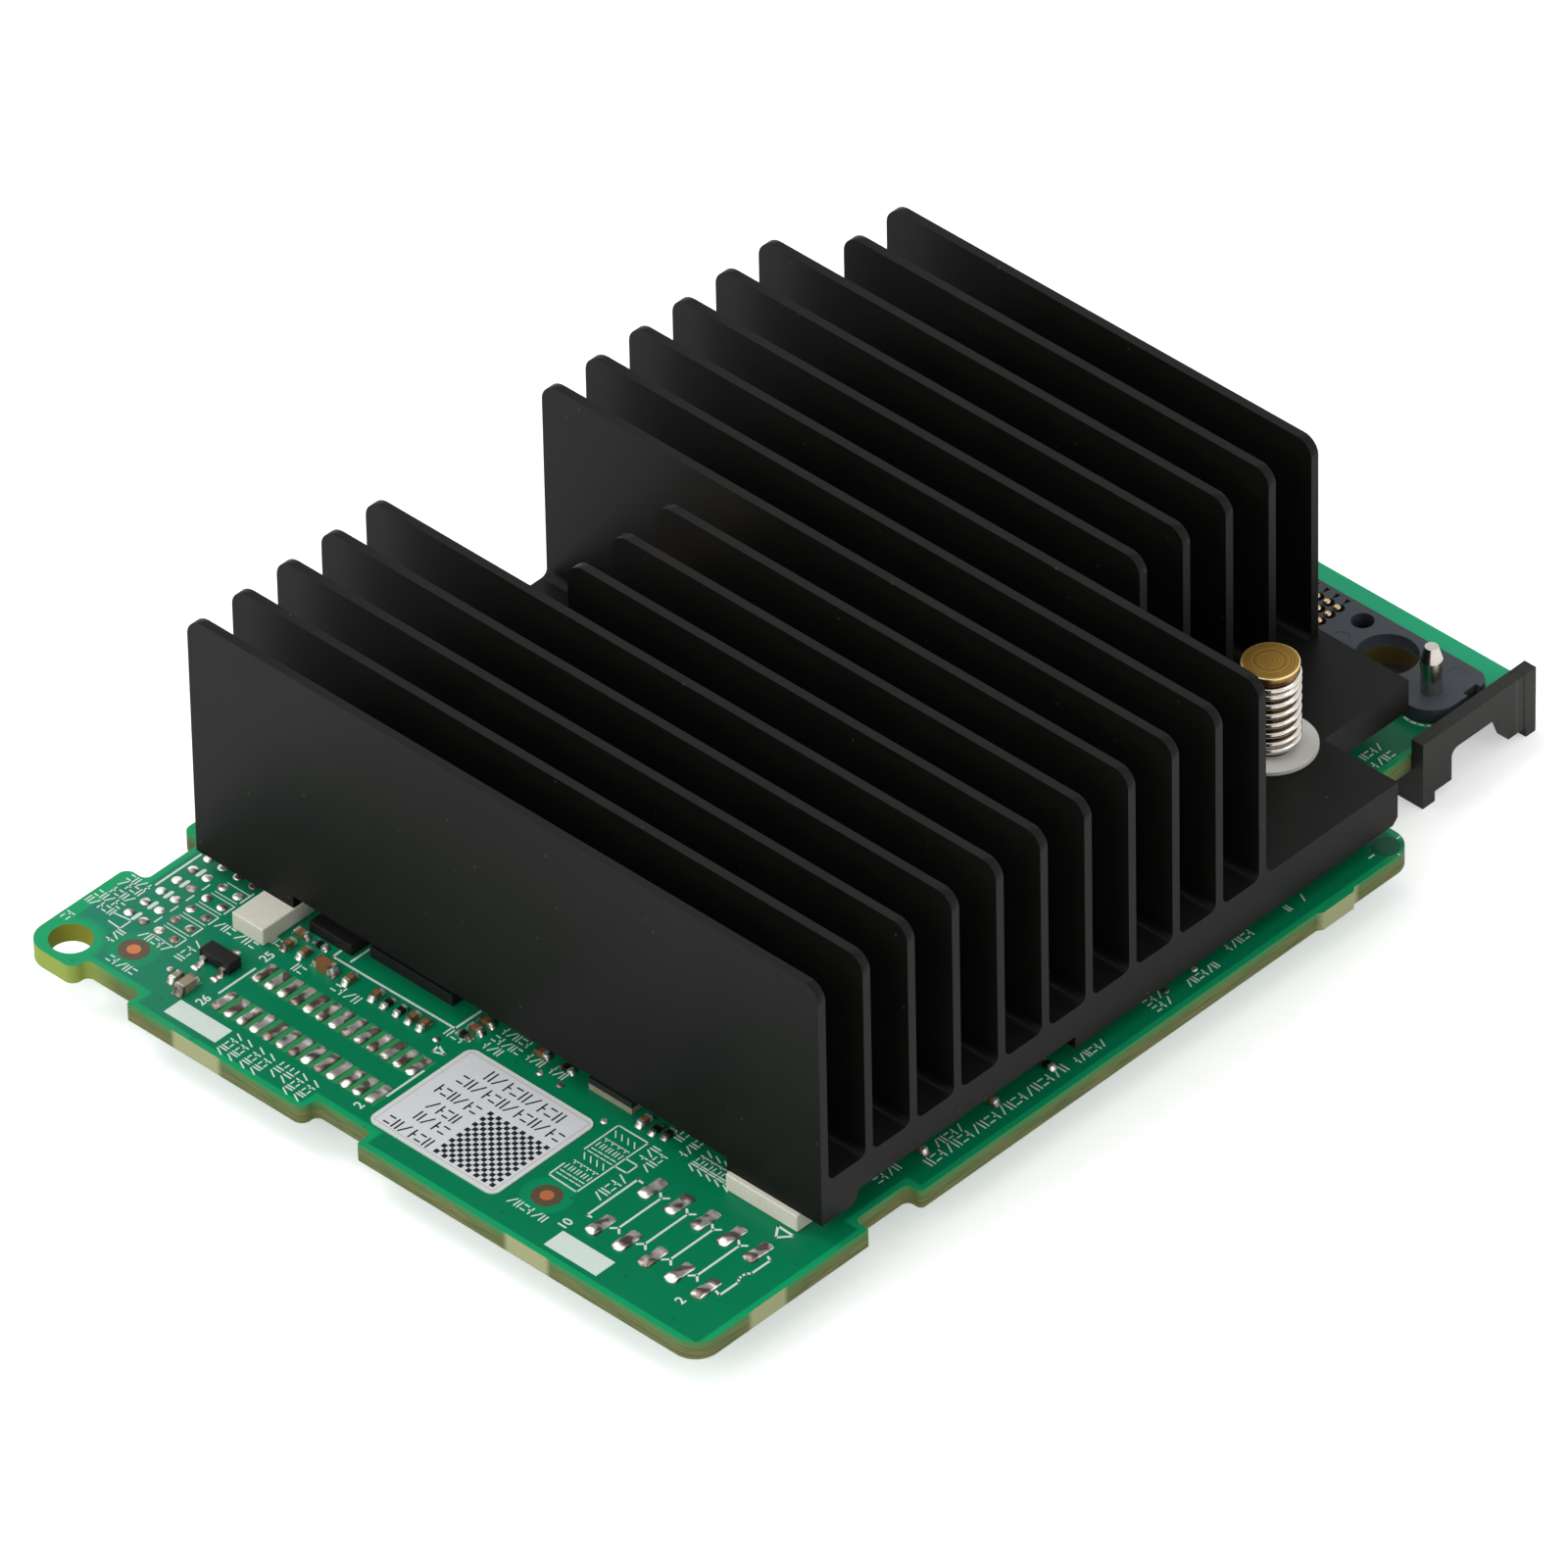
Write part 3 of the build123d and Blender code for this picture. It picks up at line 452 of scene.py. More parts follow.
def grid_faces(rows, columns, closed=False):
    """Quads between neighbouring points of a grid of rows by columns.

    Where it is closed, the last column also joins the first.
    """
    last = columns if closed else columns - 1
    row, column = np.meshgrid(np.arange(rows - 1), np.arange(last), indexing="ij")
    here = row * columns + column
    right = row * columns + (column + 1) % columns
    return np.stack([here, right, right + columns, here + columns], axis=-1).reshape(-1, 4)


def numbered_on(face_groups, points_each, copies):
    """The faces of many copies of a shape: each copy's corners count on from the copy before."""
    starts = np.arange(copies)[:, None, None] * points_each
    numbered = [(starts + group[None]).reshape(-1, group.shape[1]).tolist() for group in face_groups]
    return [face for faces in numbered for face in faces]


def prisms(rims, low, high):
    """Closed upright prisms on many flat rims, of shape (count, corners, 2) and anticlockwise from above."""
    count, size, _ = rims.shape
    levels = [np.concatenate([rims, np.full((count, size, 1), z)], axis=2) for z in (low, high)]
    corner = np.arange(size)
    following = np.roll(corner, -1)
    sides = np.stack([corner, following, following + size, corner + size], axis=1)
    faces = numbered_on([sides, corner[None, ::-1], corner[None] + size], 2 * size, count)
    return np.concatenate(levels, axis=1).reshape(-1, 3), faces


def circles(centres, radius, sides=32):
    """Flat round rims: each point stands one radius from its centre."""
    turn = np.linspace(0, 2 * math.pi, sides, endpoint=False)
    return np.asarray(centres, float)[:, None] + radius * np.stack([np.cos(turn), np.sin(turn)], axis=-1)


def rectangles(boxes):
    """Flat square rims from pairs of opposite corners."""
    low, high = np.asarray(boxes, float).transpose(1, 0, 2)
    right_front = np.stack([high[:, 0], low[:, 1]], axis=1)
    left_rear = np.stack([low[:, 0], high[:, 1]], axis=1)
    return np.stack([low, right_front, high, left_rear], axis=1)


def round_ended(lines, width, corners=4):
    """Rims of strokes: a half circle about each end of a line, so that the two sides run along it."""
    start, end = lines[:, 0], lines[:, 1]
    heading = np.arctan2(*(end - start).T[::-1])[:, None]
    half_turn = np.linspace(-math.pi / 2, math.pi / 2, corners)
    about_end, about_start = heading + half_turn, heading + half_turn + math.pi
    far = end[:, None] + width / 2 * np.stack([np.cos(about_end), np.sin(about_end)], axis=-1)
    near = start[:, None] + width / 2 * np.stack([np.cos(about_start), np.sin(about_start)], axis=-1)
    return np.concatenate([far, near], axis=1)


def runs_to_lines(runs):
    """Every stretch between neighbouring corners of the given runs."""
    return np.array([pair for run in runs for pair in zip(run[:-1], run[1:])], float)


def domes(centres, radius, height, rings=4, sides=14):
    """Low domes: the height is the crown's times the root of one less the squared share of the radius."""
    share = np.sin(np.linspace(0, math.pi / 2, rings + 1))[1:, None]
    turn = np.linspace(0, 2 * math.pi, sides, endpoint=False)[None]
    rise = height * np.sqrt(np.clip(1 - share**2, 0, 1)) * np.ones_like(turn)
    ring = np.stack([radius * share * np.cos(turn), radius * share * np.sin(turn), rise], axis=-1)
    shape = np.concatenate([[[0, 0, height]], ring.reshape(-1, 3)])
    first = 1 + np.arange(sides)
    crown = np.stack([np.zeros(sides, int), first, np.roll(first, -1)], axis=1)
    rim = 1 + (rings - 1) * sides + np.arange(sides)
    bands = 1 + grid_faces(rings, sides, closed=True)[:, ::-1]
    groups = [crown, bands, rim[None, ::-1]]
    centres = np.asarray(centres, float)
    return (shape[None] + centres[:, None]).reshape(-1, 3), numbered_on(groups, len(shape), len(centres))


def swell(shape, along, place_chance, size_chance):
    """A bell along a pad: its size times e to the minus square of the distance, counted in spreads."""
    middle = shape["place"] + shape["place_change"] * place_chance
    size = shape["size"] + shape["size_change"] * size_chance
    return size * np.exp(-(((along - middle) / shape["spread"]) ** 2))


def solder_beads(low, high, mound, seed, stations=22, sides=9):
    """One bead of solder along X on each pad: rounded in section, flat underneath.

    Along the pad, the height is a low bead plus a swell near each end, the left one higher. The width keeps
    the pad's, less a waist behind the left swell, and both shrink to nothing at the pad's ends.
    """
    count = len(low)
    chances = np.random.default_rng(seed).uniform(-1, 1, (6, count, 1, 1))
    left_size, left_place, right_size, floor, waist, lean = chances
    along = np.linspace(-bead_reach, bead_reach, stations)[None, :, None]
    over = np.linspace(0, math.pi, sides)[None, None]
    taper = (1 - np.abs(along) ** bead_end_power) ** 0.5
    swells = swell(left_swell, along, left_place, left_size) + swell(right_swell, along, 0, right_size)
    height = mound * (bead_floor + bead_floor_change * floor + swells)
    width = bead_wetting * taper * (1 - swell(waist_swell, along, 0, waist))
    leaning = bead_lean * lean * np.sin(bead_lean_turn * along)
    middle = (low + high)[:, None, None] / 2
    reach = (high - low)[:, None, None] / 2
    points = np.stack(np.broadcast_arrays(
        middle[..., 0] + reach[..., 0] * along,
        middle[..., 1] + reach[..., 1] * width * (np.cos(over) + leaning * np.sin(over)),
        height * taper * np.sin(over) ** bead_crown_power,
    ), axis=-1)
    ring = np.arange(sides)
    ends = [ring[None, ::-1], ring[None] + (stations - 1) * sides]
    groups = [grid_faces(stations, sides, closed=True), *ends]
    return points.reshape(-1, 3), numbered_on(groups, stations * sides, count)


def end_fillets():
    """A concave wedge of solder outside each chip part's metal end: its height falls as a square to a toe."""
    cap_low, cap_high = solid_boxes("chip_part_caps")
    parts = ("capacitor_bodies", "resistor_bodies")
    bodies = np.concatenate([np.add(*solid_boxes(name)) / 2 for name in parts])
    middle = (cap_low + cap_high) / 2
    size = cap_high - cap_low
    distance = np.linalg.norm(middle[:, None, :2] - bodies[None, :, :2], axis=2)
    outward = middle - bodies[np.argmin(distance, axis=1)]
    outward[:, 2] = 0
    outward = np.round(outward / np.linalg.norm(outward, axis=1, keepdims=True))
    across = np.stack([-outward[:, 1], outward[:, 0], np.zeros(len(middle))], axis=1)
    thickness = np.abs((size * outward).sum(axis=1))[:, None]
    width = np.abs((size * across).sum(axis=1))[:, None]
    share = np.linspace(0, 1, fillet_steps)
    slope = np.stack([share, fillet_height * (1 - share) ** 2 + fillet_toe], axis=1)
    shape, faces = prisms(np.concatenate([slope, [[0, 0]]])[None], -1, 1)
    start = middle * (1, 1, 0) + outward * thickness / 2
    reach = fillet_reach * (size[:, None, 2:] / fillet_reach_height) ** 0.5
    points = (
        start[:, None]
        + shape[None, :, :1] * reach * outward[:, None]
        + shape[None, :, 2:] * fillet_half_width * width[:, None] * across[:, None]
        + shape[None, :, 1:2] * size[:, None] * (0, 0, 1)
    )
    sizes = sorted({len(face) for face in faces})
    groups = [np.array([face for face in faces if len(face) == corners]) for corners in sizes]
    return points.reshape(-1, 3), numbered_on(groups, len(shape), len(middle))


def word_lines(x, y, heading, length, height, count=None):
    """Plain ticks in a row from a place, along a heading in degrees: a word's look without any letters."""
    count = count or max(1, round(length / (mark_pitch * height)))
    pitch = length / count
    turn = math.radians(heading)
    along = np.array((math.cos(turn), math.sin(turn)))
    up = np.array((-math.sin(turn), math.cos(turn)))
    lines = []
    for index in range(count):
        kind = (mark_step * index + count + round(mark_step * x)) % len(placeholder_marks)
        mark = runs_to_lines(placeholder_marks[kind])
        across = pitch * (index + mark_inset + (1 - 2 * mark_inset) * mark[..., :1])
        lines.append(np.array((x, y)) + across * along + height * mark[..., 1:] * up)
    return np.concatenate(lines)


def table_lines(table):
    """The printed table's rows of plain ticks, one over the other."""
    row_height = (table["rear"] - table["front"]) / table["rows"]
    return np.concatenate([
        word_lines(
            table["left"], table["front"] + (row + table["mark_gap"]) * row_height, 0,
            table["right"] - table["left"], table["mark_height"], table["columns"],
        )
        for row in range(table["rows"])
    ])


def fork_lines():
    """Lines between the coarse header's rows, and two short forks at each end of a line."""
    lines = [((fork_line[0], y), (fork_line[1], y)) for y in coarse_row_gaps]
    lines += [
        ((tip, y + side * fork_rise), (end, y))
        for end, tip in zip(fork_line, fork_tips)
        for y in coarse_row_gaps
        for side in (-1, 1)
    ]
    return tuple(lines)


def add_pin_number(index, digits, x, y, material):
    """One pin's number: the plain outline of its digits, scaled to its height and as thick as the legend."""
    curve = bpy.data.curves.new(f"digits_{index}", "FONT")
    curve.body = digits
    curve.offset = pin_number_boldness
    curve.extrude = pin_number_depth
    text = bpy.data.objects.new(f"digits_{index}", curve)
    mesh = bpy.data.meshes.new_from_object(text)
    corners = np.empty(len(mesh.vertices) * 3)
    mesh.vertices.foreach_get("co", corners)
    corners = corners.reshape(-1, 3) - corners.reshape(-1, 3).min(axis=0)
    points = corners * (pin_number_height / corners[:, 1].max()) * (1, 1, 0) + (x, y, 0)
    points[:, 2] = np.where(corners[:, 2] > 0, legend_thickness, 0)
    faces = [tuple(polygon.vertices) for polygon in mesh.polygons]
    add_piece(f"pin_number_{index}", points, faces, material, smooth=False)
    bpy.data.objects.remove(text)
    bpy.data.meshes.remove(mesh)


def add_legend(material):
    """The board's white legend: outlines, plain marks for words, patches and the headers' pin numbers."""
    underlines = [((left, lamp_underline_y), (right, lamp_underline_y)) for left, right in lamp_underlines]
    bars = np.array([((left, lamp_bar_y), (right, lamp_bar_y)) for left, right in lamp_bars], float)
    dashes = np.array(lamp_dash) + np.arange(lamp_boxes - 1)[:, None, None] * (lamp_pitch, 0)
    box_middles = lamp_first_x + lamp_pitch * np.arange(lamp_boxes)
    box_sides = (box_middles[:, None] + (-lamp_box_reach, lamp_box_reach)).ravel()
    strokes = [
        (runs_to_lines(outlines + fork_lines()), outline_width),
        (runs_to_lines(fine_outlines + tuple(underlines) + dark_mark_ticks), fine_outline_width),
        (dashes, fine_outline_width),
        (np.array([((x, lamp_box_front), (x, lamp_box_rear)) for x in box_sides]), hairline_width),
        (np.concatenate([word_lines(*word) for word in words]), word_stroke),
        (table_lines(printed_table), table_stroke),
        (bars, lamp_bar_width),
    ]
    rims = {f"legend_strokes_{index + 1}": round_ended(*stroke) for index, stroke in enumerate(strokes)}
    rims["legend_patches"] = rectangles(white_patches)
    rims["legend_corner_mark"] = np.array([white_triangle])
    for name, flat_rims in rims.items():
        points, faces = prisms(flat_rims, 0, legend_thickness)
        add_piece(name, points, faces, material, smooth=False)
    for index, (digits, x, y) in enumerate(pin_numbers):
        add_pin_number(index + 1, digits, x, y, material)


def add_label_print(material):
    """Rows of plain marks along Y, and a square of chequers: the cells whose row and column add up even."""
    paper_top = (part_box("label")[1].z - board_origin[2]) / mm
    ink_base = paper_top - label_ink_depth
    lines = np.concatenate([word_lines(x, y, 90, length, height) for x, y, length, height in label_rows])
    points, faces = prisms(round_ended(lines, label_mark_stroke), ink_base, paper_top + label_mark_height)
    add_piece("label_marks", points, faces, material, smooth=False)
    dark = np.argwhere(np.indices((code_cells, code_cells)).sum(axis=0) % 2 == 0)
    low = np.array(code_corner) + dark * code_cell
    cells = rectangles(np.stack([low, low + code_cell], axis=1))
    points, faces = prisms(cells, ink_base, paper_top + code_height)
    add_piece("label_cells", points, faces, material, smooth=False)


def add_spring(name, material):
    """A round wire wound in a helix: its climb per turn is small on the closed turns and even between them.

    Around each point of the centre line, the wire's section is a circle in the plane of the line's normals.
    """
    low, high = ((np.array(corner) - board_origin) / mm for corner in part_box(name))
    centre = (low + high) / 2
    wire = spring_wire / 2
    coil_radius = (high[0] - low[0]) / 2 - wire
    steps = spring_steps_per_turn * spring_turns + 1
    turns = np.linspace(0, spring_turns, steps)
    first, last = low[2] + wire, high[2] - wire
    closed_rise = spring_closed_turns * spring_wire * spring_closed_pitch
    knots = [0, spring_closed_turns, spring_turns - spring_closed_turns, spring_turns]
    rise = np.interp(turns, knots, [first, first + closed_rise, last - closed_rise, last])
    angle = turns * 2 * math.pi
    outward = np.stack([np.cos(angle), np.sin(angle), np.zeros(steps)], axis=-1)
    axis = np.stack([np.full(steps, centre[0]), np.full(steps, centre[1]), rise], axis=-1)
    line = coil_radius * outward + axis
    forward = np.gradient(line, axis=0)
    forward /= np.linalg.norm(forward, axis=1, keepdims=True)
    sideways = np.cross(forward, outward)
    about = np.linspace(0, 2 * math.pi, spring_sides, endpoint=False)[None, :, None]
    points = line[:, None] + wire * (np.cos(about) * outward[:, None] + np.sin(about) * sideways[:, None])
    ring = np.arange(spring_sides)
    ends = [ring[None], ring[None, ::-1] + (steps - 1) * spring_sides]
    faces = numbered_on([grid_faces(steps, spring_sides, closed=True)[:, ::-1], *ends], 0, 1)
    add_piece(f"{name}_wire", points.reshape(-1, 3), faces, material, replaces=name)


def add_solder(material):
    """Solder that melted and set: beads on the headers, domes on lamps and test points, fillets on parts."""
    for name, mound in solder_mounds.items():
        points, faces = solder_beads(*solid_boxes(f"{name}_pads"), mound, solder_seeds[name])
        add_piece(f"{name}_solder", points, faces, material, replaces=f"{name}_pads")
    lamp_low, lamp_high = solid_boxes("lamp_pads")
    points, faces = domes((lamp_low + lamp_high) / 2 * (1, 1, 0), **lamp_dome)
    add_piece("lamp_solder", points, faces, material, replaces="lamp_pads")
    points, faces = domes([(x, y, 0) for x, y in test_points], **test_point_dome)
    add_piece("test_point_solder", points, faces, material)
    points, faces = end_fillets()
    add_piece("chip_part_solder", points, faces, material)
    leg_low, leg_high = solid_boxes("transistor_legs")
    leg_middle = (leg_low + leg_high) / 2
    body_middle = sum(np.array(corner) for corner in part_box("transistor_body")) / 2
    away = np.sign(leg_middle[:, :1] - (body_middle[0] - board_origin[0]) / mm)
    toe = leg_middle + away * (leg_toe_offset, 0, 0)
    spread = np.array((*leg_solder_reach, 0))
    points, faces = solder_beads(toe - spread, toe + spread, leg_solder_mound, solder_seeds["transistor"])
    add_piece("transistor_solder", points, faces, material)


def add_contacts(gold, shadow):
    """Rounded gold contacts, each on a near-black disc of painted shade that stands for its round pocket."""
    low, high = solid_boxes("connector_contacts")
    bases = (low + high) / 2 * (1, 1, 0) + low * (0, 0, 1)
    points, faces = domes(bases, contact_dome_radius, (high - low)[0, 2], rings=3, sides=10)
    add_piece("contact_domes", points, faces, gold, replaces="connector_contacts")
    # Painted shade and shadow: each dark disc stands a little towards the contact's shaded side
    pocket_shades = circles(bases[:, :2] + contact_shadow_offset, contact_pocket_radius, sides=12)
    frame_top = low[0, 2]
    points, faces = prisms(pocket_shades, frame_top - contact_pocket_depth, frame_top + contact_pocket_proud)
    add_piece("contact_pocket_shade", points, faces, shadow, smooth=False)


def add_fiducials(copper, laminate):
    """Round copper marks, each in an opening of the mask that shows the laminate."""
    points, faces = prisms(circles(fiducials, fiducial_opening_radius, sides=40), 0, fiducial_opening_height)
    add_piece("fiducial_openings", points, faces, laminate, smooth=False)
    points, faces = prisms(circles(fiducials, fiducial_dot_radius), 0, fiducial_dot_height)
    add_piece("fiducial_dots", points, faces, copper, smooth=False)


# Camera and lights

def add_camera():
    """The camera looks along its heading, tilted down and rolled a little about its own line of sight."""
    forward = Vector((
        math.cos(camera_tilt) * math.cos(camera_heading),
        math.cos(camera_tilt) * math.sin(camera_heading),
        -math.sin(camera_tilt),
    ))
    level = forward.cross(Vector((0, 0, 1))).normalized()
    upright = level.cross(forward)
    right = math.cos(camera_roll) * level + math.sin(camera_roll) * upright
    up = right.cross(forward)
    data = bpy.data.cameras.new("photo_camera")
    data.lens = camera_lens
    data.sensor_width = sensor_width
    data.clip_end = camera_reach
    camera = bpy.data.objects.new("photo_camera", data)
    turn = Matrix((right, up, -forward)).transposed().to_4x4()
    camera.matrix_world = Matrix.Translation(camera_place) @ turn
    bpy.context.scene.collection.objects.link(camera)
    bpy.context.scene.camera = camera


def add_lamps():
    """Soft square lamps that all face the card."""
    for name, lamp in lamps.items():
        data = bpy.data.lights.new(name, "AREA")
        data.size = lamp["size"]
        data.energy = lamp["power"]
        light = bpy.data.objects.new(name, data)
        light.location = lamp["place"]
        light.rotation_euler = (-Vector(lamp["place"])).to_track_quat("-Z", "Y").to_euler()
        bpy.context.scene.collection.objects.link(light)


def seen_ray(tree):
    """1 for rays from the camera, or that a polished or clear surface sends on.

    It is 0 for the rays that light the card.
    """
    path = tree.nodes.new("ShaderNodeLightPath")
    rays = [path.outputs[name] for name in ("Is Camera Ray", "Is Glossy Ray", "Is Transmission Ray")]
    return combined(tree, rays, "MAXIMUM")


def add_sky():
    """A plain pale surround, white where it is seen and dimmer where it lights the card."""
    world = bpy.data.worlds.new("studio")
    world.use_nodes = True
    bpy.context.scene.world = world
    tree = world.node_tree
    level = add_node(tree, "ShaderNodeMapRange", {"Value": seen_ray(tree), "To Min": sky_level})
    background = tree.nodes["Background"]
    background.inputs["Color"].default_value = linear("#ffffff")
    lead_to(tree, background, Strength=level)


def add_floor():
    """A pale matt floor under the card's lowest point, lifted to white where the camera sees it unshaded."""
    mesh = bpy.data.meshes.new("floor")
    corners = np.array(((-1, -1, 0), (1, -1, 0), (1, 1, 0), (-1, 1, 0))) * floor_size / 2
    mesh.from_pydata(corners, [], [(0, 1, 2, 3)])
    material, tree, shader, spot = start_material("pale_painted_floor", Roughness=0.9)
    shader.inputs["Emission Color"].default_value = linear("#ffffff")
    scale = 1 / (pattern_size["floor_speckle"] * mm)
    speckle = add_node(tree, "ShaderNodeTexNoise", {"Vector": spot, "Scale": scale})
    paint = add_node(tree, "ShaderNodeMix", {0: speckle, 6: "#f4f4f3", 7: "#f7f7f6"}, 2, data_type="RGBA")
    glow = add_node(tree, "ShaderNodeMapRange", {"Value": seen_ray(tree), "To Max": floor_lift})
    lead_to(tree, shader, Base_Color=paint, Emission_Strength=glow)
    mesh.materials.append(material)
    floor = bpy.data.objects.new("floor", mesh)
    bpy.context.scene.collection.objects.link(floor)


# Patterns

def combined(tree, shares, operation):
    """Shares joined two by two with one Math operation."""
    joined = shares[0]
    for share in shares[1:]:
        joined = add_node(tree, "ShaderNodeMath", {0: joined, 1: share}, operation=operation)
    return joined


def flattened(tree, spot):
    """The coordinates without their height."""
    return add_node(tree, "ShaderNodeVectorMath", {0: spot, 1: (1, 1, 0)}, operation="MULTIPLY")


def inside_box(tree, flat, corners, soft=0.1):
    """1 inside an upright box between two board corners, by the larger of the distances past its sides."""
    low, high = (place((*corner, 0)) * (1, 1, 0) for corner in corners)
    from_middle = add_node(
        tree, "ShaderNodeVectorMath", {0: flat, 1: tuple((low + high) / 2)}, operation="SUBTRACT"
    )
    size = add_node(tree, "ShaderNodeVectorMath", {0: from_middle}, operation="ABSOLUTE")
    past = add_node(tree, "ShaderNodeVectorMath", {0: size, 1: tuple((high - low) / 2)}, operation="SUBTRACT")
    sides = add_node(tree, "ShaderNodeSeparateXYZ", {0: past}).node.outputs[:2]
    far = combined(tree, sides, "MAXIMUM")
    return add_node(
        tree, "ShaderNodeMapRange",
        {"Value": far, "From Min": -soft / 2 * mm, "From Max": soft / 2 * mm, "To Min": 1.0, "To Max": 0.0},
    )


def inside_disc(tree, flat, centre, radius, soft=0.1):
    """1 inside an upright cylinder about a board place."""
    middle = tuple(place((*centre, 0)) * (1, 1, 0))
    far = add_node(tree, "ShaderNodeVectorMath", {0: flat, 1: middle}, "Value", operation="DISTANCE")
    inner, outer = (radius - soft / 2) * mm, (radius + soft / 2) * mm
    return add_node(
        tree, "ShaderNodeMapRange",
        {"Value": far, "From Min": inner, "From Max": outer, "To Min": 1.0, "To Max": 0.0},
    )


def over_copper(tree, flat):
    """1 over copper: inside the board's outline, 0 by its notches and corner hole, and less by its marks."""
    (left, front), (right, rear) = main_part
    (tongue_left, tongue_front), (tongue_right, tongue_rear) = tongue
    margin = copper_margin
    planes = (
        ((left + margin, front + margin), (right - margin, rear - rear_copper_margin)),
        ((tongue_left, tongue_front + margin), (tongue_right - tongue_copper_margin, tongue_rear - margin)),
    )
    copper = combined(tree, [inside_box(tree, flat, plane, soft=0.12) for plane in planes], "MAXIMUM")
    cuts = [
        inside_box(tree, flat, ((x - margin, y - margin), (far_x + margin, far_y + margin)), soft=0.2)
        for (x, y), (far_x, far_y) in notches
    ]
    cuts += [inside_disc(tree, flat, corner_hole, corner_hole_clearing, soft=0.7)]
    clearings = [inside_disc(tree, flat, mark, fiducial_clearing_radius, soft=0.2) for mark in fiducials]
    clearing = combined(tree, clearings, "MAXIMUM")
    faint = combined(tree, [clearing, fiducial_clearing_share], "MULTIPLY")
    for cut in (combined(tree, cuts, "MAXIMUM"), faint):
        copper = add_node(tree, "ShaderNodeMath", {0: copper, 1: cut}, operation="SUBTRACT", use_clamp=True)
    return copper


def between_fine_pads(tree, spot, flat):
    """1 on the webs of mask between the fine header's pads, which repeat along Y."""
    along_y = add_node(tree, "ShaderNodeSeparateXYZ", {0: spot}, 1)
    first_pad_y = board_origin[1] + fine_first_y * mm
    from_first = add_node(tree, "ShaderNodeMath", {0: along_y, 1: first_pad_y}, operation="SUBTRACT")
    from_pad = add_node(tree, "ShaderNodeMath", {0: from_first, 1: fine_pitch * mm / 2}, operation="PINGPONG")
    start, full = fine_web_from_pad
    web = add_node(
        tree, "ShaderNodeMapRange", {"Value": from_pad, "From Min": start * mm, "From Max": full * mm}
    )
    columns = [inside_box(tree, flat, column, soft=0.15) for column in fine_columns]
    return combined(tree, [web, combined(tree, columns, "MAXIMUM")], "MULTIPLY")


def over_vias(tree, flat):
    """A faint share on small dots, one at a place of its own in each cell of the board."""
    via = add_node(
        tree, "ShaderNodeTexVoronoi",
        {"Vector": flat, "Scale": 1 / (via_spacing * mm), "Randomness": via_scatter}, "Distance",
    )
    radius = via_radius / via_spacing
    return add_node(
        tree, "ShaderNodeMapRange",
        {
            "Value": via, "From Min": radius, "From Max": via_blur * radius,
            "To Min": via_darkness, "To Max": 0.0,
        },
    )


# Materials

def plain_finish(name, light, dark, grain, roughness, metallic=0.0, bump=0.1, **sockets):
    """A finish of two close tones in a grain given in millimetres, with a light bump of the same grain."""
    material, tree, shader, spot = start_material(name, Metallic=metallic, **sockets)
    noise = add_node(tree, "ShaderNodeTexNoise", {"Vector": spot, "Scale": 1 / (grain * mm), "Detail": 4.0})
    tone = add_node(tree, "ShaderNodeMix", {0: noise, 6: light, 7: dark}, 2, data_type="RGBA")
    smoothest, roughest = roughness - roughness_spread, roughness + roughness_spread
    gloss = add_node(tree, "ShaderNodeMapRange", {"Value": noise, "To Min": smoothest, "To Max": roughest})
    relief = add_node(
        tree, "ShaderNodeBump", {"Height": noise, "Strength": bump, "Distance": grain_depth * grain * mm}
    )
    lead_to(tree, shader, Base_Color=tone, Roughness=gloss, Normal=relief)
    return material


def mask_tone(tree, spot, flat):
    """The mask's tones, each laid over the ones before by its share.

    Over laminate it is bright, and over copper dark, and bluer towards the corner hole as a painted sheen.
    Both drift slowly across the board. Then come webs of paler mask between the fine header's pads, the bluer
    strip at the tongue's bare end, the vias, the brown about the key holes and the dark round mark.
    """
    drift = add_node(
        tree, "ShaderNodeTexNoise",
        {"Vector": spot, "Scale": 1 / (pattern_size["mask_drift"] * mm), "Detail": 2.0},
    )
    deep = add_node(tree, "ShaderNodeMix", {0: drift, 6: "#04734b", 7: "#077e55"}, 2, data_type="RGBA")
    # Painted sheen: over copper, the mask turns bluer towards the board's free corner
    bluer = inside_disc(tree, flat, **mask_painted_sheen)
    deep = add_node(tree, "ShaderNodeMix", {0: bluer, 6: deep, 7: "#1b8266"}, 2, data_type="RGBA")
    tone = add_node(tree, "ShaderNodeMix", {0: drift, 6: "#0d935b", 7: "#18a46b"}, 2, data_type="RGBA")
    keyed = [inside_disc(tree, flat, centre, key_hole_wall_radius) for centre in key_holes]
    layers = (
        (over_copper(tree, flat), deep),
        (between_fine_pads(tree, spot, flat), "#358a55"),
        (inside_box(tree, flat, tongue_strip, soft=0.2), "#1fa877"),
        (over_vias(tree, flat), "#0b4a36"),
        (combined(tree, keyed, "MAXIMUM"), "#1a1512"),
        (inside_disc(tree, flat, dark_mark, dark_mark_radius, soft=0.08), "#0a5a40"),
    )
    for share, colour in layers:
        tone = add_node(tree, "ShaderNodeMix", {0: share, 6: tone, 7: colour}, 2, data_type="RGBA")
    return tone


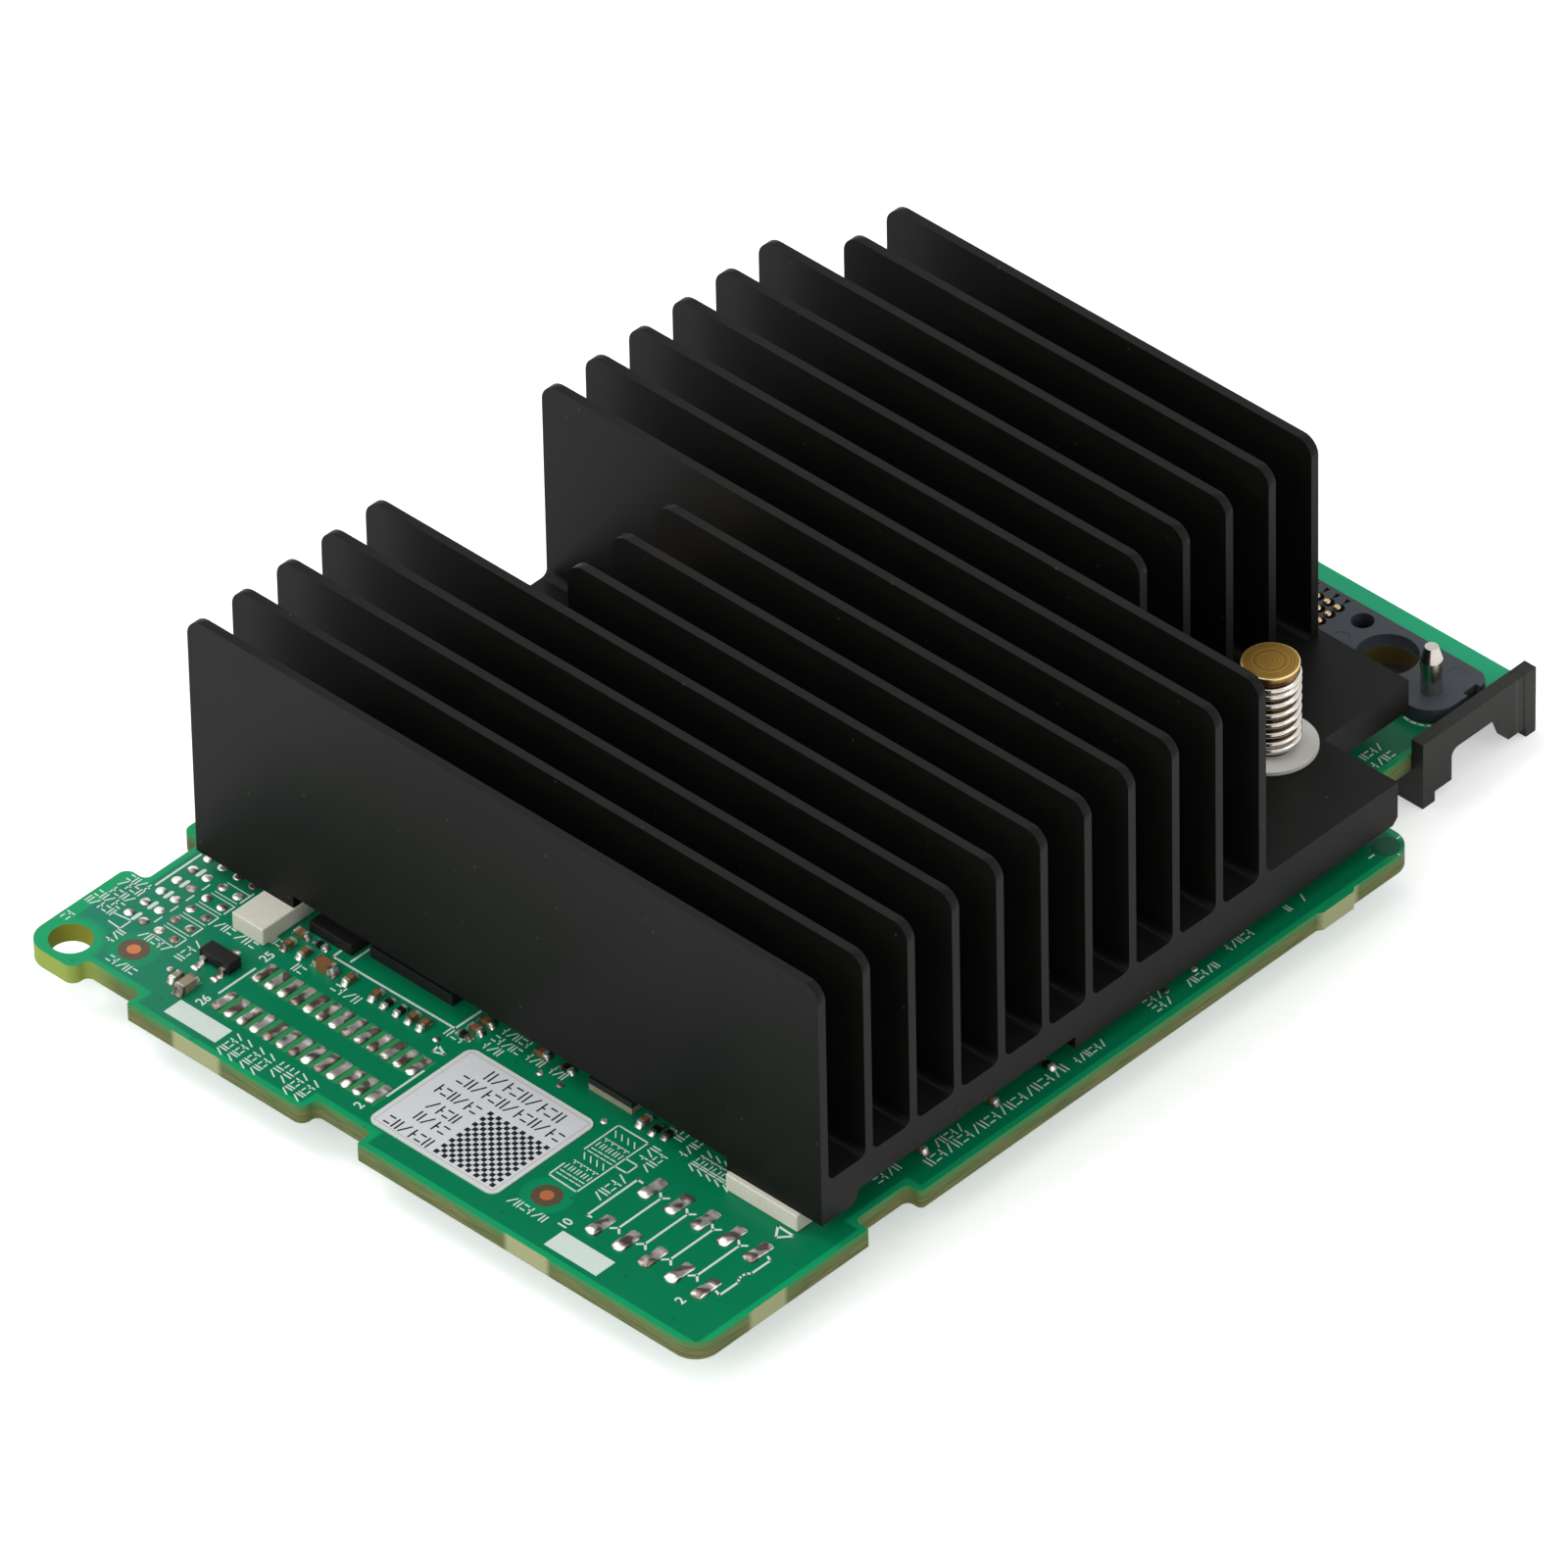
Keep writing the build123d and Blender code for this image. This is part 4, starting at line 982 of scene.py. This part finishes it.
def routed_edge_tone(tree, spot, flat):
    """The routed edges' tones, each laid over the ones before by its share.

    Plies of glass and resin lie level along the edge. The lip under the mask is greener, the free corner
    brighter, the corner hole's wall more yellow and the screw holes' walls brown. The tab stubs are pale.
    """
    drawn = add_node(tree, "ShaderNodeMapping", {"Vector": spot, "Scale": (0.06, 0.06, 1.0)})
    fibres = add_node(
        tree, "ShaderNodeTexNoise",
        {"Vector": drawn, "Scale": 1 / (pattern_size["laminate_ply"] * mm), "Detail": 5.0},
    )
    ply = add_node(tree, "ShaderNodeMapRange", {"Value": fibres, "From Min": 0.36, "From Max": 0.64})
    tone = add_node(tree, "ShaderNodeMix", {0: ply, 6: "#52643a", 7: "#787649"}, 2, data_type="RGBA")
    height = add_node(tree, "ShaderNodeSeparateXYZ", {0: spot}, 2)
    start, full = (board_origin[2] + rise * mm for rise in edge_lip)
    lip = add_node(tree, "ShaderNodeMapRange", {"Value": height, "From Min": start, "From Max": full})
    walls = [inside_disc(tree, flat, centre, screw_hole_wall_radius) for centre in screw_holes]
    stubs = [inside_box(tree, flat, stub, soft=0.5) for stub in tab_stubs]
    layers = (
        (lip, "#47844d"),
        (inside_disc(tree, flat, **bright_edge), "#95a84e"),
        (inside_disc(tree, flat, corner_hole, corner_hole_wall_radius, soft=0.2), "#8a8c2c"),
        (combined(tree, walls, "MAXIMUM"), "#5a4a1c"),
        (combined(tree, stubs, "MAXIMUM"), "#a3a77c"),
    )
    for share, colour in layers:
        tone = add_node(tree, "ShaderNodeMix", {0: share, 6: tone, 7: colour}, 2, data_type="RGBA")
    return tone


def solder_mask_on_laminate():
    """Photo-cured solder mask over copper on glass laminate.

    The lacquer is glossy and clear green: dark over copper, bright where there is only laminate under it, as
    along the edges and round the corner hole. The routed edges show tan resin and glass, in layers.
    """
    material, tree, shader, spot = start_material("solder_mask_on_glass_laminate", Specular_IOR_Level=0.14)
    flat = flattened(tree, spot)
    normal = tree.nodes.new("ShaderNodeNewGeometry").outputs["Normal"]
    upward = add_node(tree, "ShaderNodeSeparateXYZ", {0: normal}, 2)
    level = add_node(tree, "ShaderNodeMath", {0: upward}, operation="ABSOLUTE")
    face = add_node(tree, "ShaderNodeMapRange", {"Value": level, "From Min": 0.5, "From Max": 0.7})
    edge = routed_edge_tone(tree, spot, flat)
    lacquer = mask_tone(tree, spot, flat)
    tone = add_node(tree, "ShaderNodeMix", {0: face, 6: edge, 7: lacquer}, 2, data_type="RGBA")
    gloss = add_node(tree, "ShaderNodeMapRange", {"Value": face, "To Min": 0.62, "To Max": 0.3})
    ripple = add_node(
        tree, "ShaderNodeTexNoise",
        {"Vector": spot, "Scale": 1 / (pattern_size["mask_ripple"] * mm), "Detail": 3.0},
    )
    relief = add_node(tree, "ShaderNodeBump", {"Height": ripple, "Strength": 0.12, "Distance": 0.08 * mm})
    lead_to(tree, shader, Base_Color=tone, Roughness=gloss, Normal=relief)
    return material


def black_anodised_aluminium():
    """Extruded aluminium, milled and anodised black: a deep satin black with fine lines along the extrusion.

    A little pale dust lies in it, as sparse specks of a fifth of a millimetre.
    """
    material, tree, shader, spot = start_material("black_anodised_aluminium", Specular_IOR_Level=0.11)
    drawn = add_node(tree, "ShaderNodeMapping", {"Vector": spot, "Scale": (1.0, 0.03, 1.0)})
    lines = add_node(
        tree, "ShaderNodeTexNoise",
        {"Vector": drawn, "Scale": 1 / (pattern_size["extrusion_line"] * mm), "Detail": 3.0},
    )
    cloud = add_node(
        tree, "ShaderNodeTexNoise",
        {"Vector": spot, "Scale": 1 / (pattern_size["anodising_cloud"] * mm), "Detail": 2.0},
    )
    shade = combined(tree, [lines, cloud], "MULTIPLY")
    black = add_node(tree, "ShaderNodeMix", {0: shade, 6: "#0c0c0b", 7: "#1b1b19"}, 2, data_type="RGBA")
    dust = add_node(
        tree, "ShaderNodeTexVoronoi",
        {"Vector": spot, "Scale": 1 / (pattern_size["dust_spacing"] * mm)}, "Distance",
    )
    speck = add_node(
        tree, "ShaderNodeMapRange",
        {"Value": dust, "From Min": 0.03, "From Max": 0.05, "To Min": 1.0, "To Max": 0.0},
    )
    tone = add_node(tree, "ShaderNodeMix", {0: speck, 6: black, 7: "#3a3a38"}, 2, data_type="RGBA")
    gloss = add_node(tree, "ShaderNodeMapRange", {"Value": lines, "To Min": 0.38, "To Max": 0.52})
    relief = add_node(tree, "ShaderNodeBump", {"Height": lines, "Strength": 0.12, "Distance": 0.03 * mm})
    lead_to(tree, shader, Base_Color=tone, Roughness=gloss, Normal=relief)
    return material


def turned_brass(name):
    """Brass off the lathe, a little tarnished.

    Fine grooves run in rings about the pin's axis, with brown clouds over them. The head has a painted
    highlight, a bright line at its top edge, and below its top the brass is painted darker as shade.
    """
    material, tree, shader, spot = start_material(f"turned_brass_{name}", Metallic=1.0)
    low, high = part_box(f"push_pin_{name}")
    axis = ((low.x + high.x) / 2, (low.y + high.y) / 2, 0)
    head_radius = (high.x - low.x) / 2
    radius = add_node(
        tree, "ShaderNodeVectorMath", {0: flattened(tree, spot), 1: axis}, "Value", operation="DISTANCE"
    )
    ring_place = add_node(tree, "ShaderNodeCombineXYZ", {0: radius})
    rings = add_node(
        tree, "ShaderNodeTexNoise",
        {"Vector": ring_place, "Scale": 1 / (pattern_size["lathe_line"] * mm), "Detail": 2.0},
    )
    cloud = add_node(
        tree, "ShaderNodeTexNoise",
        {"Vector": spot, "Scale": 1 / (pattern_size["tarnish_cloud"] * mm), "Detail": 3.0},
    )
    grooves = add_node(tree, "ShaderNodeMapRange", {"Value": rings, "From Min": 0.42, "From Max": 0.58})
    # Painted highlight: a bright line round the head's top edge
    start, full = (head_radius - inset * mm for inset in pin_painted_highlight)
    rim = add_node(tree, "ShaderNodeMapRange", {"Value": radius, "From Min": start, "From Max": full})
    height = add_node(tree, "ShaderNodeSeparateXYZ", {0: spot}, 2)
    # Painted shade: the brass below the head's top is darker
    start, full = (high.z - drop * mm for drop in pin_painted_shade_below_top)
    top = add_node(tree, "ShaderNodeMapRange", {"Value": height, "From Min": start, "From Max": full})
    face = add_node(tree, "ShaderNodeMix", {0: cloud, 6: "#bf9a4c", 7: "#a17f3c"}, 2, data_type="RGBA")
    for share, colour in ((grooves, "#8a6a2f"), (rim, "#f0d9a0")):
        face = add_node(tree, "ShaderNodeMix", {0: share, 6: face, 7: colour}, 2, data_type="RGBA")
    tone = add_node(tree, "ShaderNodeMix", {0: top, 6: "#8f6b3c", 7: face}, 2, data_type="RGBA")
    gloss = add_node(tree, "ShaderNodeMapRange", {"Value": cloud, "To Min": 0.22, "To Max": 0.42})
    relief = add_node(tree, "ShaderNodeBump", {"Height": rings, "Strength": 0.45, "Distance": 0.04 * mm})
    lead_to(tree, shader, Base_Color=tone, Roughness=gloss, Normal=relief)
    return material


def moulded_resin(name, light, dark, marks):
    """Glass-filled resin from a mould: satin, faintly flecked, with shallow round ejector marks."""
    material, tree, shader, spot = start_material(name, Specular_IOR_Level=0.22)
    flat = flattened(tree, spot)
    fleck = add_node(
        tree, "ShaderNodeTexNoise",
        {"Vector": spot, "Scale": 1 / (pattern_size["moulding_fleck"] * mm), "Detail": 5.0},
    )
    tone = add_node(tree, "ShaderNodeMix", {0: fleck, 6: light, 7: dark}, 2, data_type="RGBA")
    sunk = [inside_disc(tree, flat, (x, y), radius, soft=0.12) for x, y, radius in marks]
    grain = add_node(tree, "ShaderNodeBump", {"Height": fleck, "Strength": 0.12, "Distance": 0.06 * mm})
    relief = add_node(
        tree, "ShaderNodeBump",
        {"Height": combined(tree, sunk, "MAXIMUM"), "Strength": 1.0, "Distance": 0.08 * mm, "Normal": grain},
        invert=True,
    )
    gloss = add_node(tree, "ShaderNodeMapRange", {"Value": fleck, "To Min": 0.4, "To Max": 0.56})
    lead_to(tree, shader, Base_Color=tone, Roughness=gloss, Normal=relief)
    return material


def coated_label_paper():
    """White coated paper under a clear cover that stands out past it all round.

    The cover shows as a duller rim, with a faint grey line where the paper ends.
    """
    material, tree, shader, spot = start_material("coated_label_paper", Roughness=0.42)
    low, high = ((np.array(corner) - board_origin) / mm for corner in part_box("label"))
    flat = flattened(tree, spot)
    sheet, line = (
        inside_box(tree, flat, (low[:2] + inset, high[:2] - inset), soft=0.06)
        for inset in (label_rim, label_rim + label_line)
    )
    fibre = add_node(
        tree, "ShaderNodeTexNoise",
        {"Vector": spot, "Scale": 1 / (pattern_size["paper_fibre"] * mm), "Detail": 5.0},
    )
    white = add_node(tree, "ShaderNodeMix", {0: fibre, 6: "#dfe1e4", 7: "#d6d8dc"}, 2, data_type="RGBA")
    edged = add_node(tree, "ShaderNodeMix", {0: line, 6: "#bcbfbd", 7: white}, 2, data_type="RGBA")
    tone = add_node(tree, "ShaderNodeMix", {0: sheet, 6: "#d9ddda", 7: edged}, 2, data_type="RGBA")
    relief = add_node(tree, "ShaderNodeBump", {"Height": fibre, "Strength": 0.08, "Distance": 0.05 * mm})
    lead_to(tree, shader, Base_Color=tone, Normal=relief)
    return material


def reflowed_solder():
    """Reflowed tin solder: a soft, uneven mirror, with duller grey-brown patches of painted reflection."""
    material, tree, shader, spot = start_material("reflowed_tin_solder", Metallic=0.72)
    patch = add_node(
        tree, "ShaderNodeTexNoise",
        {"Vector": spot, "Scale": 1 / (pattern_size["solder_patch"] * mm), "Detail": 0.6},
    )
    # Painted reflection: the grey-brown patches stand for the dark heat sink mirrored in the solder
    painted_reflection_share = add_node(tree, "ShaderNodeMapRange", {"Value": patch, "From Min": 0.46, "From Max": 0.58})
    tone = add_node(tree, "ShaderNodeMix", {0: painted_reflection_share, 6: "#f6f1ea", 7: "#82746a"}, 2, data_type="RGBA")
    gloss = add_node(tree, "ShaderNodeMapRange", {"Value": patch, "To Min": 0.18, "To Max": 0.4})
    relief = add_node(tree, "ShaderNodeBump", {"Height": patch, "Strength": 0.35, "Distance": 0.12 * mm})
    lead_to(tree, shader, Base_Color=tone, Roughness=gloss, Normal=relief)
    return material


def ceramic_package():
    """The oscillator's package: a pale glass-ceramic tray under a dark metal lid, which meet halfway up."""
    material, tree, shader, spot = start_material("glass_ceramic_package", Roughness=0.42)
    low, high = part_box("oscillator")
    grain = add_node(
        tree, "ShaderNodeTexNoise",
        {"Vector": spot, "Scale": 1 / (pattern_size["package_grain"] * mm), "Detail": 4.0},
    )
    tray = add_node(tree, "ShaderNodeMix", {0: grain, 6: "#a8a08c", 7: "#8e8674"}, 2, data_type="RGBA")
    lid = add_node(tree, "ShaderNodeMix", {0: grain, 6: "#2b2a28", 7: "#1f1e1d"}, 2, data_type="RGBA")
    height = add_node(tree, "ShaderNodeSeparateXYZ", {0: spot}, 2)
    start, full = ((low.z + high.z) / 2 + side * seam_blur / 2 * mm for side in (-1, 1))
    above = add_node(tree, "ShaderNodeMapRange", {"Value": height, "From Min": start, "From Max": full})
    tone = add_node(tree, "ShaderNodeMix", {0: above, 6: tray, 7: lid}, 2, data_type="RGBA")
    relief = add_node(tree, "ShaderNodeBump", {"Height": grain, "Strength": 0.15, "Distance": 0.03 * mm})
    lead_to(tree, shader, Base_Color=tone, Normal=relief)
    return material


def fired_capacitor_ceramic():
    """Fired barium titanate, faintly glossy: red-brown, but for the beige grade by the transistor."""
    material, tree, shader, spot = start_material("fired_barium_titanate", Roughness=0.4)
    grain = add_node(
        tree, "ShaderNodeTexNoise",
        {"Vector": spot, "Scale": 1 / (pattern_size["capacitor_grain"] * mm), "Detail": 4.0},
    )
    brown = add_node(tree, "ShaderNodeMix", {0: grain, 6: "#93683c", 7: "#6d4825"}, 2, data_type="RGBA")
    beige = add_node(tree, "ShaderNodeMix", {0: grain, 6: "#9a9178", 7: "#857a5e"}, 2, data_type="RGBA")
    near = inside_disc(tree, flattened(tree, spot), beige_capacitors, beige_capacitors_radius)
    tone = add_node(tree, "ShaderNodeMix", {0: near, 6: brown, 7: beige}, 2, data_type="RGBA")
    relief = add_node(tree, "ShaderNodeBump", {"Height": grain, "Strength": 0.1, "Distance": 0.03 * mm})
    lead_to(tree, shader, Base_Color=tone, Normal=relief)
    return material


def make_materials():
    """Every finish of the card's CAD nodes, by the name of the record's slot."""
    return {
        "board_laminate": solder_mask_on_laminate(),
        "black_anodised": black_anodised_aluminium(),
        "brass": turned_brass("front"),
        # Cold-drawn spring wire, bright plated: warm white metal with a mirror-like highlight
        "spring_steel": plain_finish(
            "bright_plated_spring_wire", "#e0dbd4", "#c2bcb3", 0.3, 0.2, metallic=1.0, bump=0.05
        ),
        # Ground stainless pins: bright and nearly smooth
        "pin_steel": plain_finish(
            "ground_stainless_steel", "#cfcac2", "#b5b0a8", 0.5, 0.2, metallic=1.0, bump=0.03
        ),
        # Stamped nylon sheet: plain, slightly warm white and dull
        "white_nylon": plain_finish("stamped_nylon_sheet", "#e3e2dc", "#dad9d2", 0.5, 0.5),
        # Die-cut silicone sponge: warm white with an open, dull grain
        "white_foam": plain_finish("silicone_sponge", "#e3e1d3", "#d0cdbc", 0.22, 0.85, bump=0.5),
        # The connector's frame is a blue-grey resin, and the bracket beside it a warm near-black nylon
        "connector_plastic": moulded_resin("glass_filled_connector_resin", "#43484f", "#3a3f46", frame_marks),
        "bracket_plastic": moulded_resin("moulded_black_nylon", "#201f1d", "#191816", bracket_marks),
        # Gold flash on bronze: pinkish gold with a soft mirror
        "gold_plate": plain_finish(
            "gold_plated_spring_bronze", "#d8bb98", "#b2926c", 0.2, 0.26, metallic=1.0, bump=0.05
        ),
        "solder": reflowed_solder(),
        # Transfer-moulded epoxy: near-black with a fine matt grain
        "chip_mould": plain_finish(
            "epoxy_mould_compound", "#1f1f1f", "#161616", 0.18, 0.5, bump=0.25, Specular_IOR_Level=0.2
        ),
        # Filled silicone gap pad: grey-blue and dull
        "pad_silicone": plain_finish("silicone_gap_pad", "#7d8a95", "#74818c", 0.3, 0.75),
        "capacitor_ceramic": fired_capacitor_ceramic(),
        # Black glaze on alumina chips: smooth, and not bright even where it mirrors
        "resistor_ceramic": plain_finish(
            "black_glazed_alumina", "#1d1d1e", "#141415", 0.3, 0.28, Specular_IOR_Level=0.3
        ),
        "label_paper": coated_label_paper(),
    }


# The finish of each CAD node, but for the rear push pin and the oscillator, which have their own
finish_of_node = {
    "circuit_board": "board_laminate",
    "heat_sink": "black_anodised",
    "connector_frame": "connector_plastic",
    "connector_contacts": "gold_plate",
    "connector_bracket": "bracket_plastic",
    "controller_chip": "chip_mould",
    "thermal_pad": "pad_silicone",
    "memory_chip": "chip_mould",
    "flash_chip": "chip_mould",
    "power_inductors": "chip_mould",
    "transistor_body": "chip_mould",
    "transistor_legs": "solder",
    "capacitor_bodies": "capacitor_ceramic",
    "resistor_bodies": "resistor_ceramic",
    "chip_part_caps": "solder",
    "fine_header_pads": "solder",
    "coarse_header_pads": "solder",
    "lamp_pads": "solder",
    "label": "label_paper",
    "push_pin_front": "brass",
    "spring_front": "spring_steel",
    "spring_rear": "spring_steel",
    "washer_front": "white_nylon",
    "washer_rear": "white_nylon",
    "spacer_front": "white_foam",
    "spacer_rear": "white_foam",
    "alignment_pin_front": "pin_steel",
    "alignment_pin_rear": "pin_steel",
}


# The whole scene

materials = make_materials()
for node_name, finish in finish_of_node.items():
    dressed(node_name, materials[finish])
dressed("push_pin_rear", turned_brass("rear"))
dressed("oscillator", ceramic_package())
for node_names, edge_radius, edge_segments in edge_radii:
    softened(node_names, edge_radius, edge_segments)

# White epoxy legend ink: a thin, slightly green-shadowed white with a dull sheen
legend_ink = plain_finish("white_epoxy_legend_ink", "#d8e6dc", "#ccdcd2", 0.4, 0.5)
add_legend(legend_ink)
# Thermal-transfer print: flat near-black
label_print = plain_finish("thermal_transfer_print", "#26272a", "#1d1e21", 0.3, 0.5, Specular_IOR_Level=0.1)
add_label_print(label_print)
add_solder(materials["solder"])
# Painted shade: near-black discs stand for the shade in each deep pocket of the frame and the contact's
# shadow
pocket = plain_finish("painted_shade_in_pocket", "#0d0e0f", "#08090a", 0.3, 0.8, Specular_IOR_Level=0.02)
add_contacts(materials["gold_plate"], pocket)
# Etched copper, lightly oxidised: pinkish orange and dull
etched_copper = plain_finish("etched_copper", "#d98352", "#bf6a3e", 0.3, 0.45, metallic=0.4)
# Resin and glass in the mask's openings: olive brown
bare_laminate = plain_finish("bare_glass_laminate", "#5a4a30", "#4b3d27", 0.3, 0.5)
add_fiducials(etched_copper, bare_laminate)
for spring_name in ("spring_front", "spring_rear"):
    add_spring(spring_name, materials["spring_steel"])
add_sky()
add_floor()
add_lamps()
add_camera()
